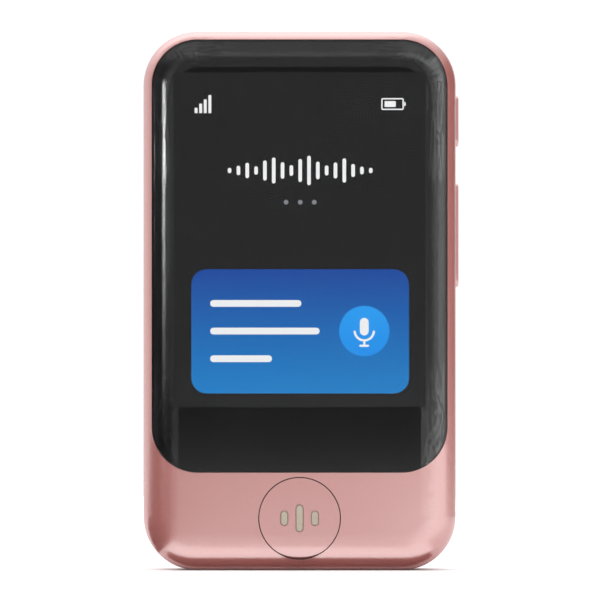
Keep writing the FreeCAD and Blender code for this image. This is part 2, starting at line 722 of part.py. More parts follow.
def hook(side, place):
    """A snap hook: a spring finger from the back cover's wall with a catch at its end."""
    tip = PARTING - HOOK_REACH
    finger = wall_block(side, place, HOOK_WIDTH, PIECE_GAP, PIECE_GAP + HOOK_THICK,
                        tip, PARTING + WALL / 2)
    root = wall_block(side, place, HOOK_WIDTH, -WALL / 2, PIECE_GAP + HOOK_THICK,
                      PARTING + PIECE_GAP, PARTING + WALL / 2)
    catch = wall_block(side, place, HOOK_WIDTH, -CATCH_DEPTH, PIECE_GAP,
                       tip + PIECE_GAP, tip + CATCH_LENGTH)
    return [finger, root, catch]


def catch_groove(side, place):
    """The groove in the housing's wall that a hook's catch snaps into."""
    tip = PARTING - HOOK_REACH
    return wall_block(side, place, HOOK_WIDTH + 2 * PIECE_GAP, -CATCH_DEPTH - PIECE_GAP,
                      PIECE_GAP, tip, tip + CATCH_LENGTH + PIECE_GAP)


def seam_groove():
    """The fine line that runs around the body between the housing and the cover."""
    return form(0).cut(form(SEAM_DEPTH)).common(
        slab(PARTING - SEAM_WIDTH / 2, PARTING + SEAM_WIDTH / 2))


def screw_hole(x, z, seat, extra=0.0):
    """The hole for a screw's shank below the face that its head sits on."""
    return round_bar("y", x, z, SCREW_SHANK_RADIUS + SCREW_HOLE_GAP,
                     seat - SCREW_LENGTH - PIECE_GAP, seat + extra)


def flex_channel():
    """The way down to the chin for the display's flat cable, behind the ledge."""
    half = DISPLAY_FLEX_WIDTH / 2 + BOARD_GAP
    return box(DISPLAY_FLEX_X - half, DISPLAY_FLEX_X + half, INNER_FRONT + WALL / 5,
               CHASSIS_FRONT, CHIN_POCKET_TOP - PAST, DISPLAY_LOW)


def front_housing():
    shell = form(0).common(slab(FRONT - PAST, PARTING))
    inside = form(WALL)
    shell = shell.cut([
        inside.common(slab(CHASSIS_FRONT, PARTING + PAST)),
        inside.common(slab(FRONT, CHASSIS_FRONT)).cut(above(CHIN_POCKET_TOP)),
    ])
    bosses = [
        round_bar("y", x, z, BOSS_RADIUS, INNER_FRONT - WALL / 2, SUB_BOARD_FRONT)
        for x, z in SUB_SCREWS
    ]
    shell = fuse(shell, strap_block(), *bosses)
    cuts = [
        glass_outline(GLASS_GAP, FRONT - PAST, CHASSIS_FRONT).cut(form(LEDGE_INSET)),
        display_box(FRONT - PAST, CHASSIS_FRONT, CHASSIS_GAP), flex_channel(), button_hole(),
        key_hole(POWER_UP, POWER_LENGTH, KEY_GAP), key_hole(ROCKER_UP, ROCKER_LENGTH, ROCKER_END_GAP),
        bar("z", 0, PORT_MIDDLE, PORT_WIDTH + 2 * PORT_GAP, PORT_HEIGHT + 2 * PORT_GAP,
            PORT_HEIGHT, -PAST, WALL + PAST),
        round_bar("z", TOP_MIC_X, BOARD_BACK + MIC_THICK / 2, MIC_HOLE_RADIUS,
                  INNER_TOP - PAST, BODY_HEIGHT + PAST),
        round_bar("z", BOTTOM_MIC_X, SUB_BOARD_BACK + MIC_THICK / 2, MIC_HOLE_RADIUS, -PAST, WALL + PAST),
        seam_groove(),
    ]
    cuts += tray_holes() + strap_pocket()
    cuts += [catch_groove(side, place) for side, place in hook_places()]
    cuts += [screw_hole(x, z, CHASSIS_BACK) for x, z in CHASSIS_SCREWS]
    cuts += [screw_hole(x, z, SUB_BOARD_BACK) for x, z in SUB_SCREWS]
    return shell.cut(cuts)


def sound_hole_places():
    """The middles of the speaker's sound holes."""
    return [
        (SPEAKER_X + (column - (SOUND_HOLE_COLUMNS - 1) / 2) * SOUND_HOLE_PITCH,
         SPEAKER_UP + (row - (SOUND_HOLE_ROWS - 1) / 2) * SOUND_HOLE_PITCH)
        for column in range(SOUND_HOLE_COLUMNS) for row in range(SOUND_HOLE_ROWS)
    ]


def speaker_pocket():
    """The rib around the speaker on the back cover."""
    outer = bar("y", SPEAKER_X, SPEAKER_UP, SPEAKER_BOX_WIDTH, SPEAKER_BOX_HEIGHT,
                SPEAKER_CORNER + SPEAKER_BOX_WALL, SPEAKER_BACK - SPEAKER_THICK - SPEAKER_SET_BACK,
                INNER_BACK + WALL / 2)
    inner = bar("y", SPEAKER_X, SPEAKER_UP, SPEAKER_BOX_WIDTH - 2 * SPEAKER_BOX_WALL,
                SPEAKER_BOX_HEIGHT - 2 * SPEAKER_BOX_WALL, SPEAKER_CORNER,
                SPEAKER_BACK - SPEAKER_THICK - PAST, INNER_BACK)
    return outer.common(form(WALL / 2)), inner.common(form(WALL))


def back_cover():
    shell = form(0).common(slab(PARTING, BACK + PAST)).cut(form(WALL))
    rib, rib_inside = speaker_pocket()
    parts = [rib]
    for side, place in hook_places():
        parts += hook(side, place)
    shell = fuse(shell, *parts)
    ring_radius = CAMERA_WINDOW_RADIUS + CAMERA_RING_WIDTH
    cuts = [
        rib_inside, seam_groove(),
        round_bar("y", CAMERA_X, CAMERA_UP, CAMERA_WINDOW_RADIUS - CAMERA_SEAT, 0, BACK + PAST),
        round_bar("y", CAMERA_X, CAMERA_UP, ring_radius + PIECE_GAP, BACK - CAMERA_RING_DEPTH,
                  BACK + PAST),
        round_bar("y", FLASH_X, CAMERA_UP, FLASH_RADIUS + PIECE_GAP, 0, BACK + PAST),
    ]
    cuts += [round_bar("y", x, z, SOUND_HOLE_RADIUS, 0, BACK + PAST) for x, z in sound_hole_places()]
    return shell.cut(cuts)


def camera_ring():
    start = BACK - CAMERA_RING_DEPTH
    outer = CAMERA_WINDOW_RADIUS + CAMERA_RING_WIDTH
    ring = tube("y", CAMERA_X, CAMERA_UP, outer, CAMERA_WINDOW_RADIUS - CAMERA_SEAT, start, BACK)
    seat = BACK - CAMERA_WINDOW_RECESS - CAMERA_WINDOW_THICK
    return ring.cut(round_bar("y", CAMERA_X, CAMERA_UP, CAMERA_WINDOW_RADIUS + PIECE_GAP, seat,
                              BACK + PAST))


def camera_window():
    end = BACK - CAMERA_WINDOW_RECESS
    return round_bar("y", CAMERA_X, CAMERA_UP, CAMERA_WINDOW_RADIUS, end - CAMERA_WINDOW_THICK, end)


def flash_lens():
    lens = round_bar("y", FLASH_X, CAMERA_UP, FLASH_RADIUS, INNER_BACK - FLASH_FLANGE_THICK,
                     BACK - PIECE_GAP)
    flange = round_bar("y", FLASH_X, CAMERA_UP, FLASH_RADIUS + FLASH_FLANGE,
                       INNER_BACK - FLASH_FLANGE_THICK, INNER_BACK)
    return fuse(lens, flange)


def flash_led():
    half = LED_SIZE / 2 + PIECE_GAP
    return box(FLASH_X - half, FLASH_X + half, BOARD_BACK, BOARD_BACK + LED_HEIGHT,
               CAMERA_UP - half, CAMERA_UP + half)


def camera_module():
    top = BOARD_BACK + CAMERA_BASE_THICK
    barrel_end = BACK - CAMERA_RING_DEPTH - PIECE_GAP
    base = bar("y", CAMERA_X, CAMERA_UP, CAMERA_BASE_SIZE, CAMERA_BASE_SIZE, 0.6, BOARD_BACK, top)
    body = bar("y", CAMERA_X, CAMERA_UP, CAMERA_SIZE, CAMERA_SIZE, 1.0, top, top + CAMERA_BODY_HEIGHT)
    barrel = round_bar("y", CAMERA_X, CAMERA_UP, BARREL_RADIUS, top, barrel_end)
    lens = round_bar("y", CAMERA_X, CAMERA_UP, LENS_RADIUS, barrel_end - LENS_RECESS, BACK)
    return fuse(base, body, barrel).cut(lens)


def speaker():
    return bar("y", SPEAKER_X, SPEAKER_UP, SPEAKER_WIDTH, SPEAKER_HEIGHT, SPEAKER_CORNER,
               SPEAKER_BACK - SPEAKER_THICK, SPEAKER_BACK)


def speaker_gasket():
    outer = bar("y", SPEAKER_X, SPEAKER_UP, SPEAKER_WIDTH, SPEAKER_HEIGHT, SPEAKER_CORNER,
                SPEAKER_BACK, INNER_BACK)
    inner = bar("y", SPEAKER_X, SPEAKER_UP, SPEAKER_WIDTH - 2 * GASKET_WIDTH,
                SPEAKER_HEIGHT - 2 * GASKET_WIDTH, SPEAKER_CORNER, SPEAKER_BACK - PAST, BACK)
    return outer.cut(inner).common(form(WALL))


def speaker_mesh():
    gap = PIECE_GAP + GASKET_WIDTH
    return bar("y", SPEAKER_X, SPEAKER_UP, SPEAKER_WIDTH - 2 * gap, SPEAKER_HEIGHT - 2 * gap,
               SPEAKER_CORNER, INNER_BACK - MESH_THICK, INNER_BACK).common(form(WALL))


def chassis_plate():
    plate = form(WALL + CHASSIS_GAP).common(slab(CHASSIS_FRONT, CHASSIS_BACK))
    plate = plate.common(above(SUB_BOARD_TOP + CHASSIS_LOW_GAP))
    posts = [round_bar("y", x, z, STANDOFF_RADIUS, CHASSIS_FRONT, BOARD_FRONT) for x, z in BOARD_SCREWS]
    rail_x = BATTERY_WIDTH / 2 + INSIDE_GAP
    rails = [
        box(x, x + RAIL_THICK, CHASSIS_FRONT, CHASSIS_BACK + RAIL_DEPTH,
            BATTERY_UP + RAIL_END_MARGIN, BATTERY_TOP - RAIL_END_MARGIN)
        for x in (rail_x, -rail_x - RAIL_THICK)
    ]
    holes = [screw_hole(x, z, CHASSIS_BACK, PAST) for x, z in CHASSIS_SCREWS]
    holes += [screw_hole(x, z, BOARD_BACK, PAST) for x, z in BOARD_SCREWS]
    return fuse(plate, *posts, *rails).cut(holes)


def main_board():
    board = form(WALL + BOARD_GAP).common(slab(BOARD_FRONT, BOARD_BACK)).common(above(BOARD_LOW))
    key_side = box(KEY_BRACKET_BACK - BOARD_GAP, BODY_WIDTH, -BODY_DEPTH, BODY_DEPTH, 0, BODY_HEIGHT)
    top = above(BOARD_TOP)
    holes = [screw_hole(x, z, BOARD_BACK, PAST) for x, z in BOARD_SCREWS]
    return board.cut([key_side, top] + holes)


def can(x, z, width, height, y0, y1, open_back):
    """A sheet-metal shield can, open towards the board."""
    outer = bar("y", x, z, width, height, 0.5, y0, y1)
    start, end = (y0 + CAN_SHEET, y1 + PAST) if open_back else (y0 - PAST, y1 - CAN_SHEET)
    inner = bar("y", x, z, width - 2 * CAN_SHEET, height - 2 * CAN_SHEET, 0.4, start, end)
    return outer.cut(inner)


def front_shield_can():
    return can(FRONT_CAN_X, BOARD_LOW + FRONT_CAN_UP, FRONT_CAN_WIDTH, FRONT_CAN_HEIGHT,
               BOARD_FRONT - CAN_HEIGHT, BOARD_FRONT, True)


def rear_shield_can():
    return can(REAR_CAN_X, BOARD_LOW + REAR_CAN_UP, REAR_CAN_WIDTH, REAR_CAN_HEIGHT,
               BOARD_BACK, BOARD_BACK + CAN_HEIGHT, False)


def chip(x, z, size, y0, y1):
    """A square chip between two depths."""
    return box(x - size / 2, x + size / 2, y0, y1, z - size / 2, z + size / 2)


def main_chips():
    front_z = BOARD_LOW + FRONT_CAN_UP
    rear_z = BOARD_LOW + REAR_CAN_UP
    return group([
        chip((2 * FRONT_CAN_LEFT + FRONT_CAN_RIGHT) / 3, front_z, PROCESSOR_SIZE,
             BOARD_FRONT - CHIP_THICK, BOARD_FRONT),
        chip(FRONT_CAN_RIGHT - MEMORY_SIZE / 2 - INSIDE_GAP, front_z, MEMORY_SIZE,
             BOARD_FRONT - CHIP_THICK, BOARD_FRONT),
        chip(REAR_CAN_X, rear_z, RADIO_SIZE, BOARD_BACK, BOARD_BACK + CHIP_THICK),
    ])


def main_connectors():
    link = box(LINK_X - LINK_WIDTH / 2, LINK_X + LINK_WIDTH / 2, BOARD_BACK,
               BOARD_BACK + CONNECTOR_HEIGHT, LINK_CONNECTOR_HIGH, LINK_CONNECTOR_HIGH + CONNECTOR_DEPTH)
    power = box(LEAD_X - LEAD_WIDTH / 2, LEAD_X + LEAD_WIDTH / 2, BOARD_FRONT - CONNECTOR_HEIGHT,
                BOARD_FRONT, LINK_CONNECTOR_HIGH, LINK_CONNECTOR_HIGH + CONNECTOR_DEPTH)
    keys = box(key_plug()[0], key_plug()[1], BOARD_BACK, BAND_MIDDLE + CONNECTOR_HEIGHT,
               key_tail_up() - CONNECTOR_DEPTH / 2, key_tail_up())
    return group([link, power, keys])


def sub_board():
    board = form(WALL + BOARD_GAP).common(slab(SUB_BOARD_FRONT, SUB_BOARD_BACK))
    block = strap_block().BoundBox
    notch = box(block.XMin - INSIDE_GAP, block.XMax + INSIDE_GAP, FRONT, BACK, 0,
                block.ZMax + INSIDE_GAP)
    holes = [screw_hole(x, z, SUB_BOARD_BACK, PAST) for x, z in SUB_SCREWS]
    return board.cut([above(SUB_BOARD_TOP), notch] + holes)


def sub_connectors():
    half = DISPLAY_FLEX_WIDTH / 2
    display = box(DISPLAY_FLEX_X - half, DISPLAY_FLEX_X + half, SUB_BOARD_FRONT - CONNECTOR_HEIGHT,
                  SUB_BOARD_FRONT, FLEX_CONNECTOR_UP, FLEX_CONNECTOR_UP + CONNECTOR_DEPTH)
    link = box(LINK_X - LINK_WIDTH / 2, LINK_X + LINK_WIDTH / 2, SUB_BOARD_BACK,
               SUB_BOARD_BACK + CONNECTOR_HEIGHT, LINK_CONNECTOR_LOW, LINK_CONNECTOR_LOW + CONNECTOR_DEPTH)
    return group([display, link])


def link_flex():
    half = FLEX_THICK / 2
    low_run = SUB_BOARD_BACK + CONNECTOR_HEIGHT + half
    high_run = BOARD_BACK + CONNECTOR_HEIGHT + half
    back_run = BATTERY_BACK + half
    under = (SUB_BOARD_TOP + BATTERY_UP) / 2
    path = [
        (low_run, LINK_CONNECTOR_LOW + INSIDE_GAP), (low_run, under - LINK_BEND),
        (low_run + LINK_BEND, under), (back_run - LINK_BEND, under),
        (back_run, under + LINK_BEND), (back_run, BATTERY_TOP + INSIDE_GAP),
        (high_run, LINK_CONNECTOR_HIGH - LINK_BEND),
        (high_run, LINK_CONNECTOR_HIGH + CONNECTOR_DEPTH - INSIDE_GAP),
    ]
    return ribbon(LINK_X - LINK_WIDTH / 2, LINK_X + LINK_WIDTH / 2, path, FLEX_THICK)


def screw(x, z, seat):
    """A cross-head screw whose head sits on a face that looks to the back."""
    shank = round_bar("y", x, z, SCREW_SHANK_RADIUS, seat - SCREW_LENGTH, seat)
    head = round_bar("y", x, z, SCREW_HEAD_RADIUS, seat, seat + SCREW_HEAD_HEIGHT)
    end = seat + SCREW_HEAD_HEIGHT
    half, span = DRIVE_WIDTH / 2, DRIVE_SPAN / 2
    cross = [
        box(x - half, x + half, end - DRIVE_DEPTH, end + PAST, z - span, z + span),
        box(x - span, x + span, end - DRIVE_DEPTH, end + PAST, z - half, z + half),
    ]
    return fuse(shank, head).cut(cross)


def screws():
    shapes = [screw(x, z, CHASSIS_BACK) for x, z in CHASSIS_SCREWS]
    shapes += [screw(x, z, BOARD_BACK) for x, z in BOARD_SCREWS]
    shapes += [screw(x, z, SUB_BOARD_BACK) for x, z in SUB_SCREWS]
    return group(shapes)


def talk_button():
    blank = form(0).common(round_bar("y", 0, BUTTON_UP, BUTTON_RADIUS, FRONT, BUTTON_BACK))
    half = BUTTON_RADIUS + TAB_REACH
    tab_front = INNER_FRONT + PIECE_GAP
    tabs = bar("y", 0, BUTTON_UP, 2 * half, TAB_HEIGHT, 0.8, tab_front, tab_front + TAB_THICK)
    hollow = round_bar("y", 0, BUTTON_UP, BUTTON_RADIUS - BUTTON_RIM, FRONT + BUTTON_FACE_THICK,
                       BUTTON_BACK + PAST)
    windows = light_windows(FRONT - PAST, BUTTON_BACK, PIECE_GAP)
    return fuse(blank, tabs).cut([hollow.common(form(BUTTON_FACE_THICK))] + windows)


def light_windows(y0, y1, gap):
    """The three upright slots in the button's face that its light shines through."""
    return [
        bar("y", place * LIGHT_BAR_PITCH, BUTTON_UP, LIGHT_BAR_WIDTH + 2 * gap, height + 2 * gap,
            LIGHT_BAR_WIDTH, y0, y1)
        for place, height in ((-1, LIGHT_BAR_SHORT), (0, LIGHT_BAR_TALL), (1, LIGHT_BAR_SHORT))
    ]


def talk_light_guide():
    start = FRONT + BUTTON_FACE_THICK + PIECE_GAP
    plate = round_bar("y", 0, BUTTON_UP, BUTTON_RADIUS - BUTTON_RIM - PIECE_GAP, start,
                      start + LIGHT_GUIDE_THICK).common(form(BUTTON_FACE_THICK + PIECE_GAP))
    windows = light_windows(FRONT + LIGHT_WINDOW_RECESS, start + LIGHT_GUIDE_THICK, 0)
    nub = round_bar("y", 0, BUTTON_UP, NUB_RADIUS, start, SUB_BOARD_FRONT - DOME_HEIGHT - NUB_GAP)
    return fuse(plate, nub, *windows)


def dome(axis, a, b, radius, base, direction):
    """A thin sprung metal dome whose base is at one place along an axis."""
    sheet = 0.07
    ball = (radius * radius + DOME_HEIGHT * DOME_HEIGHT) / (2 * DOME_HEIGHT)
    centre = base + direction * (DOME_HEIGHT - ball)
    outer = Part.makeSphere(ball, point(axis, a, b, centre))
    inner = Part.makeSphere(ball, point(axis, a, b, centre - direction * sheet))
    start, end = sorted((base, base + direction * DOME_HEIGHT))
    room = round_bar(axis, a, b, radius + PAST, start, end)
    return outer.cut(inner).common(room)


def talk_dome():
    return dome("y", 0, BUTTON_UP, DOME_RADIUS, SUB_BOARD_FRONT, -1)


def talk_leds():
    half = LED_SIZE / 2
    shapes = []
    for x, z in ((LED_SPREAD, 0), (-LED_SPREAD, 0), (0, LED_SPREAD), (0, -LED_SPREAD)):
        shapes.append(box(x - half, x + half, SUB_BOARD_FRONT - LED_HEIGHT, SUB_BOARD_FRONT,
                          BUTTON_UP + z - half, BUTTON_UP + z + half))
    return group(shapes)


def light_collar():
    outer = BUTTON_RADIUS - BUTTON_RIM - 3 * PIECE_GAP
    end = BUTTON_BACK + BUTTON_TRAVEL + PIECE_GAP
    return tube("y", 0, BUTTON_UP, outer, outer - CUSHION_WALL, end, SUB_BOARD_FRONT)


def key_cap(up, length):
    """The part of a side key that comes through the wall, with softened outer edges."""
    cap = bar("x", BAND_MIDDLE, up, KEY_WIDTH, length, KEY_WIDTH,
              INNER_SIDE - KEY_GAP - PIECE_GAP, HALF_WIDTH + KEY_PROUD)
    rim = [edge for edge in cap.Edges if edge.BoundBox.XMin > HALF_WIDTH]
    return cap.makeFillet(KEY_ROUND, rim)


def power_key():
    inner = INNER_SIDE - KEY_GAP - KEY_FLANGE_THICK
    flange = bar("x", BAND_MIDDLE, POWER_UP, KEY_WIDTH + 2 * KEY_FLANGE_EXTRA,
                 POWER_LENGTH + 2 * KEY_FLANGE_EXTRA, 0.8, inner, inner + KEY_FLANGE_THICK)
    nub = round_bar("x", BAND_MIDDLE, POWER_UP, KEY_NUB_RADIUS, KEY_TIP, inner)
    return fuse(key_cap(POWER_UP, POWER_LENGTH), flange, nub)


def volume_rocker():
    outer = INNER_SIDE - ROCKER_SLACK
    inner = outer - KEY_FLANGE_THICK
    cap = key_cap(ROCKER_UP, ROCKER_LENGTH)
    stem = bar("x", BAND_MIDDLE, ROCKER_UP, KEY_WIDTH, ROCKER_LENGTH, KEY_WIDTH, inner, INNER_SIDE)
    flange = bar("x", BAND_MIDDLE, ROCKER_UP, KEY_WIDTH + 2 * KEY_FLANGE_EXTRA, ROCKER_FLANGE_LENGTH,
                 0.8, inner, outer)
    nubs = [
        round_bar("x", BAND_MIDDLE, ROCKER_UP + spread, KEY_NUB_RADIUS, KEY_TIP, inner)
        for spread in (-ROCKER_NUB_SPREAD, ROCKER_NUB_SPREAD)
    ]
    heel = round_bar("x", BAND_MIDDLE, ROCKER_UP, KEY_NUB_RADIUS, KEY_FLEX_FACE + PIECE_GAP, inner)
    return fuse(cap, stem, flange, heel, *nubs)


def power_dome():
    return dome("x", BAND_MIDDLE, POWER_UP, KEY_DOME_RADIUS, KEY_FLEX_FACE, 1)


def volume_domes():
    return group([
        dome("x", BAND_MIDDLE, ROCKER_UP + spread, KEY_DOME_RADIUS, KEY_FLEX_FACE, 1)
        for spread in (-ROCKER_NUB_SPREAD, ROCKER_NUB_SPREAD)
    ])


def bracket_low():
    """The lower end of the side keys' bracket."""
    return ROCKER_UP - ROCKER_LENGTH / 2 - KEY_BRACKET_MARGIN


def bracket_high():
    """The upper end of the side keys' bracket."""
    return POWER_UP + POWER_LENGTH / 2 + KEY_BRACKET_MARGIN


def key_tail_up():
    """The height of the side-key cable's tail, over the end of the bracket."""
    return bracket_high() + PIECE_GAP


def key_plug():
    """The two sides of the side-key connector on the main board."""
    right = KEY_BRACKET_BACK - BOARD_GAP
    return right - KEY_PLUG_WIDTH, right


def key_bracket():
    half = KEY_WIDTH / 2 - PIECE_GAP
    plate = box(KEY_BRACKET_BACK, KEY_BRACKET_FACE, CHASSIS_BACK, BAND_MIDDLE + half,
                bracket_low(), bracket_high())
    foot = box(KEY_BRACKET_BACK - KEY_FOOT_WIDTH, KEY_BRACKET_FACE, CHASSIS_BACK,
               CHASSIS_BACK + KEY_BRACKET_THICK, bracket_low(), bracket_high())
    return fuse(plate, foot)


def key_flex():
    half = KEY_WIDTH / 2 - INSIDE_GAP
    tail = key_tail_up()
    strip = box(KEY_BRACKET_FACE, KEY_FLEX_FACE, BAND_MIDDLE - half, BAND_MIDDLE + half,
                bracket_low() + INSIDE_GAP, tail + FLEX_THICK)
    over = box(key_plug()[0] + INSIDE_GAP, KEY_FLEX_FACE, BOARD_BACK + PIECE_GAP, BAND_MIDDLE + half,
               tail, tail + FLEX_THICK)
    return fuse(strip, over)


def card_room(gap, y0, y1):
    """The card's outline with its cut corner, grown by a gap."""
    end = TRAY_END - CARD_END_MARGIN
    start = end - CARD_LENGTH
    block = bar("y", (start + end) / 2, TRAY_UP, CARD_LENGTH + 2 * gap, CARD_HEIGHT + 2 * gap,
                CARD_CORNER, y0, y1)
    low, cut = TRAY_UP - CARD_HEIGHT / 2 - gap, CARD_CUT + PAST
    corner = FreeCAD.Vector(end + gap + PAST, y0 - PAST, low - PAST)
    wire = Part.makePolygon([
        corner, corner + FreeCAD.Vector(-cut - PAST, 0, 0), corner + FreeCAD.Vector(0, 0, cut + PAST),
        corner,
    ])
    return block.cut(Part.Face(wire).extrude(FreeCAD.Vector(0, y1 - y0 + 2 * PAST, 0)))


def sim_tray():
    frame = bar("y", (DOOR_INNER + TRAY_END) / 2, TRAY_UP, TRAY_LENGTH, TRAY_HEIGHT, 0.5,
                TRAY_FRONT, TRAY_BACK)
    door = bar("x", TRAY_PLANE, TRAY_UP, TRAY_DOOR_WIDTH, TRAY_DOOR_LENGTH, TRAY_DOOR_WIDTH,
               -HALF_WIDTH, DOOR_INNER - PIECE_GAP).common(form(0))
    neck = box(DOOR_INNER - 2 * PIECE_GAP, DOOR_INNER + 1.0, TRAY_FRONT, TRAY_BACK,
               TRAY_UP - TRAY_HEIGHT / 2, TRAY_UP + TRAY_HEIGHT / 2)
    card = card_room(CARD_GAP, TRAY_FRONT - PAST, TRAY_BACK - TRAY_LEDGE)
    open_back = card_room(-TRAY_LEDGE_WIDTH, TRAY_FRONT, TRAY_BACK + PAST)
    pin_hole = round_bar("x", TRAY_PLANE, TRAY_UP + ROD_OFFSET, PIN_HOLE_RADIUS,
                         -HALF_WIDTH - PAST, DOOR_INNER)
    return fuse(frame, door, neck).cut([card, open_back, pin_hole])


def sim_card():
    end = TRAY_BACK - TRAY_LEDGE
    return card_room(0, end - CARD_THICK, end)


def sim_socket():
    low, high = TRAY_UP - SOCKET_HALF_HEIGHT, TRAY_UP + SOCKET_HALF_HEIGHT
    cover_face = TRAY_BACK + SOCKET_PLAY
    outer = box(SOCKET_START, SOCKET_END, BOARD_BACK, cover_face + SOCKET_SHEET, low, high)
    inner = box(SOCKET_START - PAST, SOCKET_END - SOCKET_SHEET, BOARD_BACK + SOCKET_BASE_THICK,
                cover_face, low + SOCKET_SHEET, high - SOCKET_SHEET)
    rivet = round_bar("y", LEVER_X, LEVER_UP, RIVET_RADIUS, FRONT, BACK)
    return outer.cut([inner, rivet])


def sim_contacts():
    card_middle = TRAY_END - CARD_END_MARGIN - CARD_LENGTH / 2
    face = BOARD_BACK + SOCKET_BASE_THICK
    shapes = []
    for side in (-1, 1):
        for step in (-1, 0, 1):
            x = card_middle + side * (CARD_LENGTH / 2 - CONTACT_SIDE - CONTACT_LENGTH / 2)
            z = TRAY_UP + step * CONTACT_PITCH
            shapes.append(box(x - CONTACT_LENGTH / 2, x + CONTACT_LENGTH / 2, face,
                              face + SOCKET_PLAY * 0.6, z - CONTACT_WIDTH / 2, z + CONTACT_WIDTH / 2))
    return group(shapes)


def eject_rod():
    return round_bar("x", TRAY_PLANE, TRAY_UP + ROD_OFFSET, ROD_RADIUS, DOOR_INNER + 2 * PIECE_GAP,
                     LEVER_X - LEVER_WIDTH / 2 - PIECE_GAP)


def eject_lever():
    half = LEVER_ARM + ROD_RADIUS
    arm = bar("y", LEVER_X, LEVER_UP, LEVER_WIDTH, 2 * half, LEVER_WIDTH / 3,
              TRAY_PLANE - LEVER_THICK / 2, TRAY_PLANE + LEVER_THICK / 2)
    hole = round_bar("y", LEVER_X, LEVER_UP, RIVET_RADIUS + PIECE_GAP, FRONT, BACK)
    hub = round_bar("y", LEVER_X, LEVER_UP, RIVET_RADIUS + 0.4, TRAY_PLANE - LEVER_THICK / 2,
                    TRAY_PLANE + LEVER_THICK / 2)
    return fuse(arm, hub).cut(hole)


def lever_rivet():
    end = TRAY_BACK + SOCKET_PLAY + SOCKET_SHEET
    shank = round_bar("y", LEVER_X, LEVER_UP, RIVET_RADIUS, BOARD_BACK, end)
    head = round_bar("y", LEVER_X, LEVER_UP, 2 * RIVET_RADIUS, end, end + 0.2)
    return fuse(shank, head)


def microphone(x, middle_z, board_face):
    """A microphone on the back of a board, standing at a height."""
    return box(x - MIC_WIDTH / 2, x + MIC_WIDTH / 2, board_face, board_face + MIC_THICK,
               middle_z - MIC_HEIGHT / 2, middle_z + MIC_HEIGHT / 2)


def top_mic_up():
    return BOARD_TOP - INSIDE_GAP - MIC_HEIGHT / 2


def bottom_mic_up():
    return WALL + BOARD_GAP + INSIDE_GAP + MIC_HEIGHT / 2


def mic_boot(x, middle_z, board_face, z0, z1):
    """A rubber sleeve over a microphone's end that leads the sound to its hole."""
    sleeve = box(x - MIC_WIDTH / 2 - BOOT_WALL, x + MIC_WIDTH / 2 + BOOT_WALL, board_face,
                 board_face + MIC_THICK + BOOT_WALL, z0, z1)
    channel = round_bar("z", x, board_face + MIC_THICK / 2, MIC_HOLE_RADIUS, 0, BODY_HEIGHT)
    return sleeve.cut([microphone(x, middle_z, board_face), channel])


def top_microphone():
    return microphone(TOP_MIC_X, top_mic_up(), BOARD_BACK)


def top_mic_boot():
    return mic_boot(TOP_MIC_X, top_mic_up(), BOARD_BACK, top_mic_up(), INNER_TOP)


def bottom_microphone():
    return microphone(BOTTOM_MIC_X, bottom_mic_up(), SUB_BOARD_BACK)


def bottom_mic_boot():
    return mic_boot(BOTTOM_MIC_X, bottom_mic_up(), SUB_BOARD_BACK, WALL, bottom_mic_up())


def usb_shell():
    outer = bar("z", 0, PORT_MIDDLE, PORT_WIDTH, PORT_HEIGHT, PORT_HEIGHT, PORT_RECESS,
                PORT_RECESS + PORT_LENGTH)
    inner = bar("z", 0, PORT_MIDDLE, PORT_WIDTH - 2 * PORT_SHEET, PORT_HEIGHT - 2 * PORT_SHEET,
                PORT_HEIGHT, -PAST, PORT_RECESS + PORT_LENGTH + PAST)
    return outer.cut(inner)


def usb_tongue():
    end = PORT_RECESS + PORT_LENGTH
    base = bar("z", 0, PORT_MIDDLE, PORT_WIDTH - 2 * PORT_SHEET, PORT_HEIGHT - 2 * PORT_SHEET,
               PORT_HEIGHT, end - PORT_BASE, end)
    tongue = bar("z", 0, PORT_MIDDLE, TONGUE_WIDTH, TONGUE_THICK, 0.2, PORT_RECESS + TONGUE_RECESS,
                 end - PORT_BASE / 2)
    return fuse(base, tongue)


def usb_contacts():
    low = PORT_RECESS + TONGUE_RECESS + 0.4
    shapes = []
    for index in range(PORT_CONTACTS):
        x = (index - (PORT_CONTACTS - 1) / 2) * PORT_CONTACT_PITCH
        for side in (-1, 1):
            face = PORT_MIDDLE + side * TONGUE_THICK / 2
            y0, y1 = sorted((face, face + side * PORT_CONTACT_THICK))
            shapes.append(box(x - PORT_CONTACT_WIDTH / 2, x + PORT_CONTACT_WIDTH / 2, y0, y1, low,
                              low + PORT_CONTACT_LENGTH))
    return group(shapes)


def battery_cell():
    middle = (BATTERY_FRONT + BATTERY_BACK) / 2
    return bar("z", 0, middle, BATTERY_WIDTH, BATTERY_THICK, BATTERY_ROUND, BATTERY_UP, BATTERY_TOP)


def battery_circuit():
    half = CIRCUIT_WIDTH / 2
    return box(-half, half, BATTERY_FRONT, BATTERY_FRONT + CIRCUIT_DEPTH, BATTERY_TOP,
               BATTERY_TOP + CIRCUIT_HEIGHT)


def battery_lead():
    half = LEAD_WIDTH / 2
    face = BOARD_FRONT - CONNECTOR_HEIGHT
    return box(LEAD_X - half, LEAD_X + half, face - FLEX_THICK, face, BATTERY_TOP + CIRCUIT_HEIGHT,
               LINK_CONNECTOR_HIGH + CONNECTOR_DEPTH - INSIDE_GAP)


def battery_tape():
    offset = BATTERY_WIDTH / 2 - BATTERY_TAPE_WIDTH / 2 - 1.0
    half = BATTERY_TAPE_WIDTH / 2
    return group([
        box(x - half, x + half, CHASSIS_BACK, BATTERY_FRONT, BATTERY_UP + PAST, BATTERY_TOP - PAST)
        for x in (-offset, offset)
    ])


def carrier_low():
    """The underside of the antenna carrier, above the strap pocket."""
    return STRAP_BLOCK_HEIGHT + INSIDE_GAP


def carrier_back():
    """The face of the antenna carrier that its track is printed on."""
    return INNER_BACK - BOARD_GAP


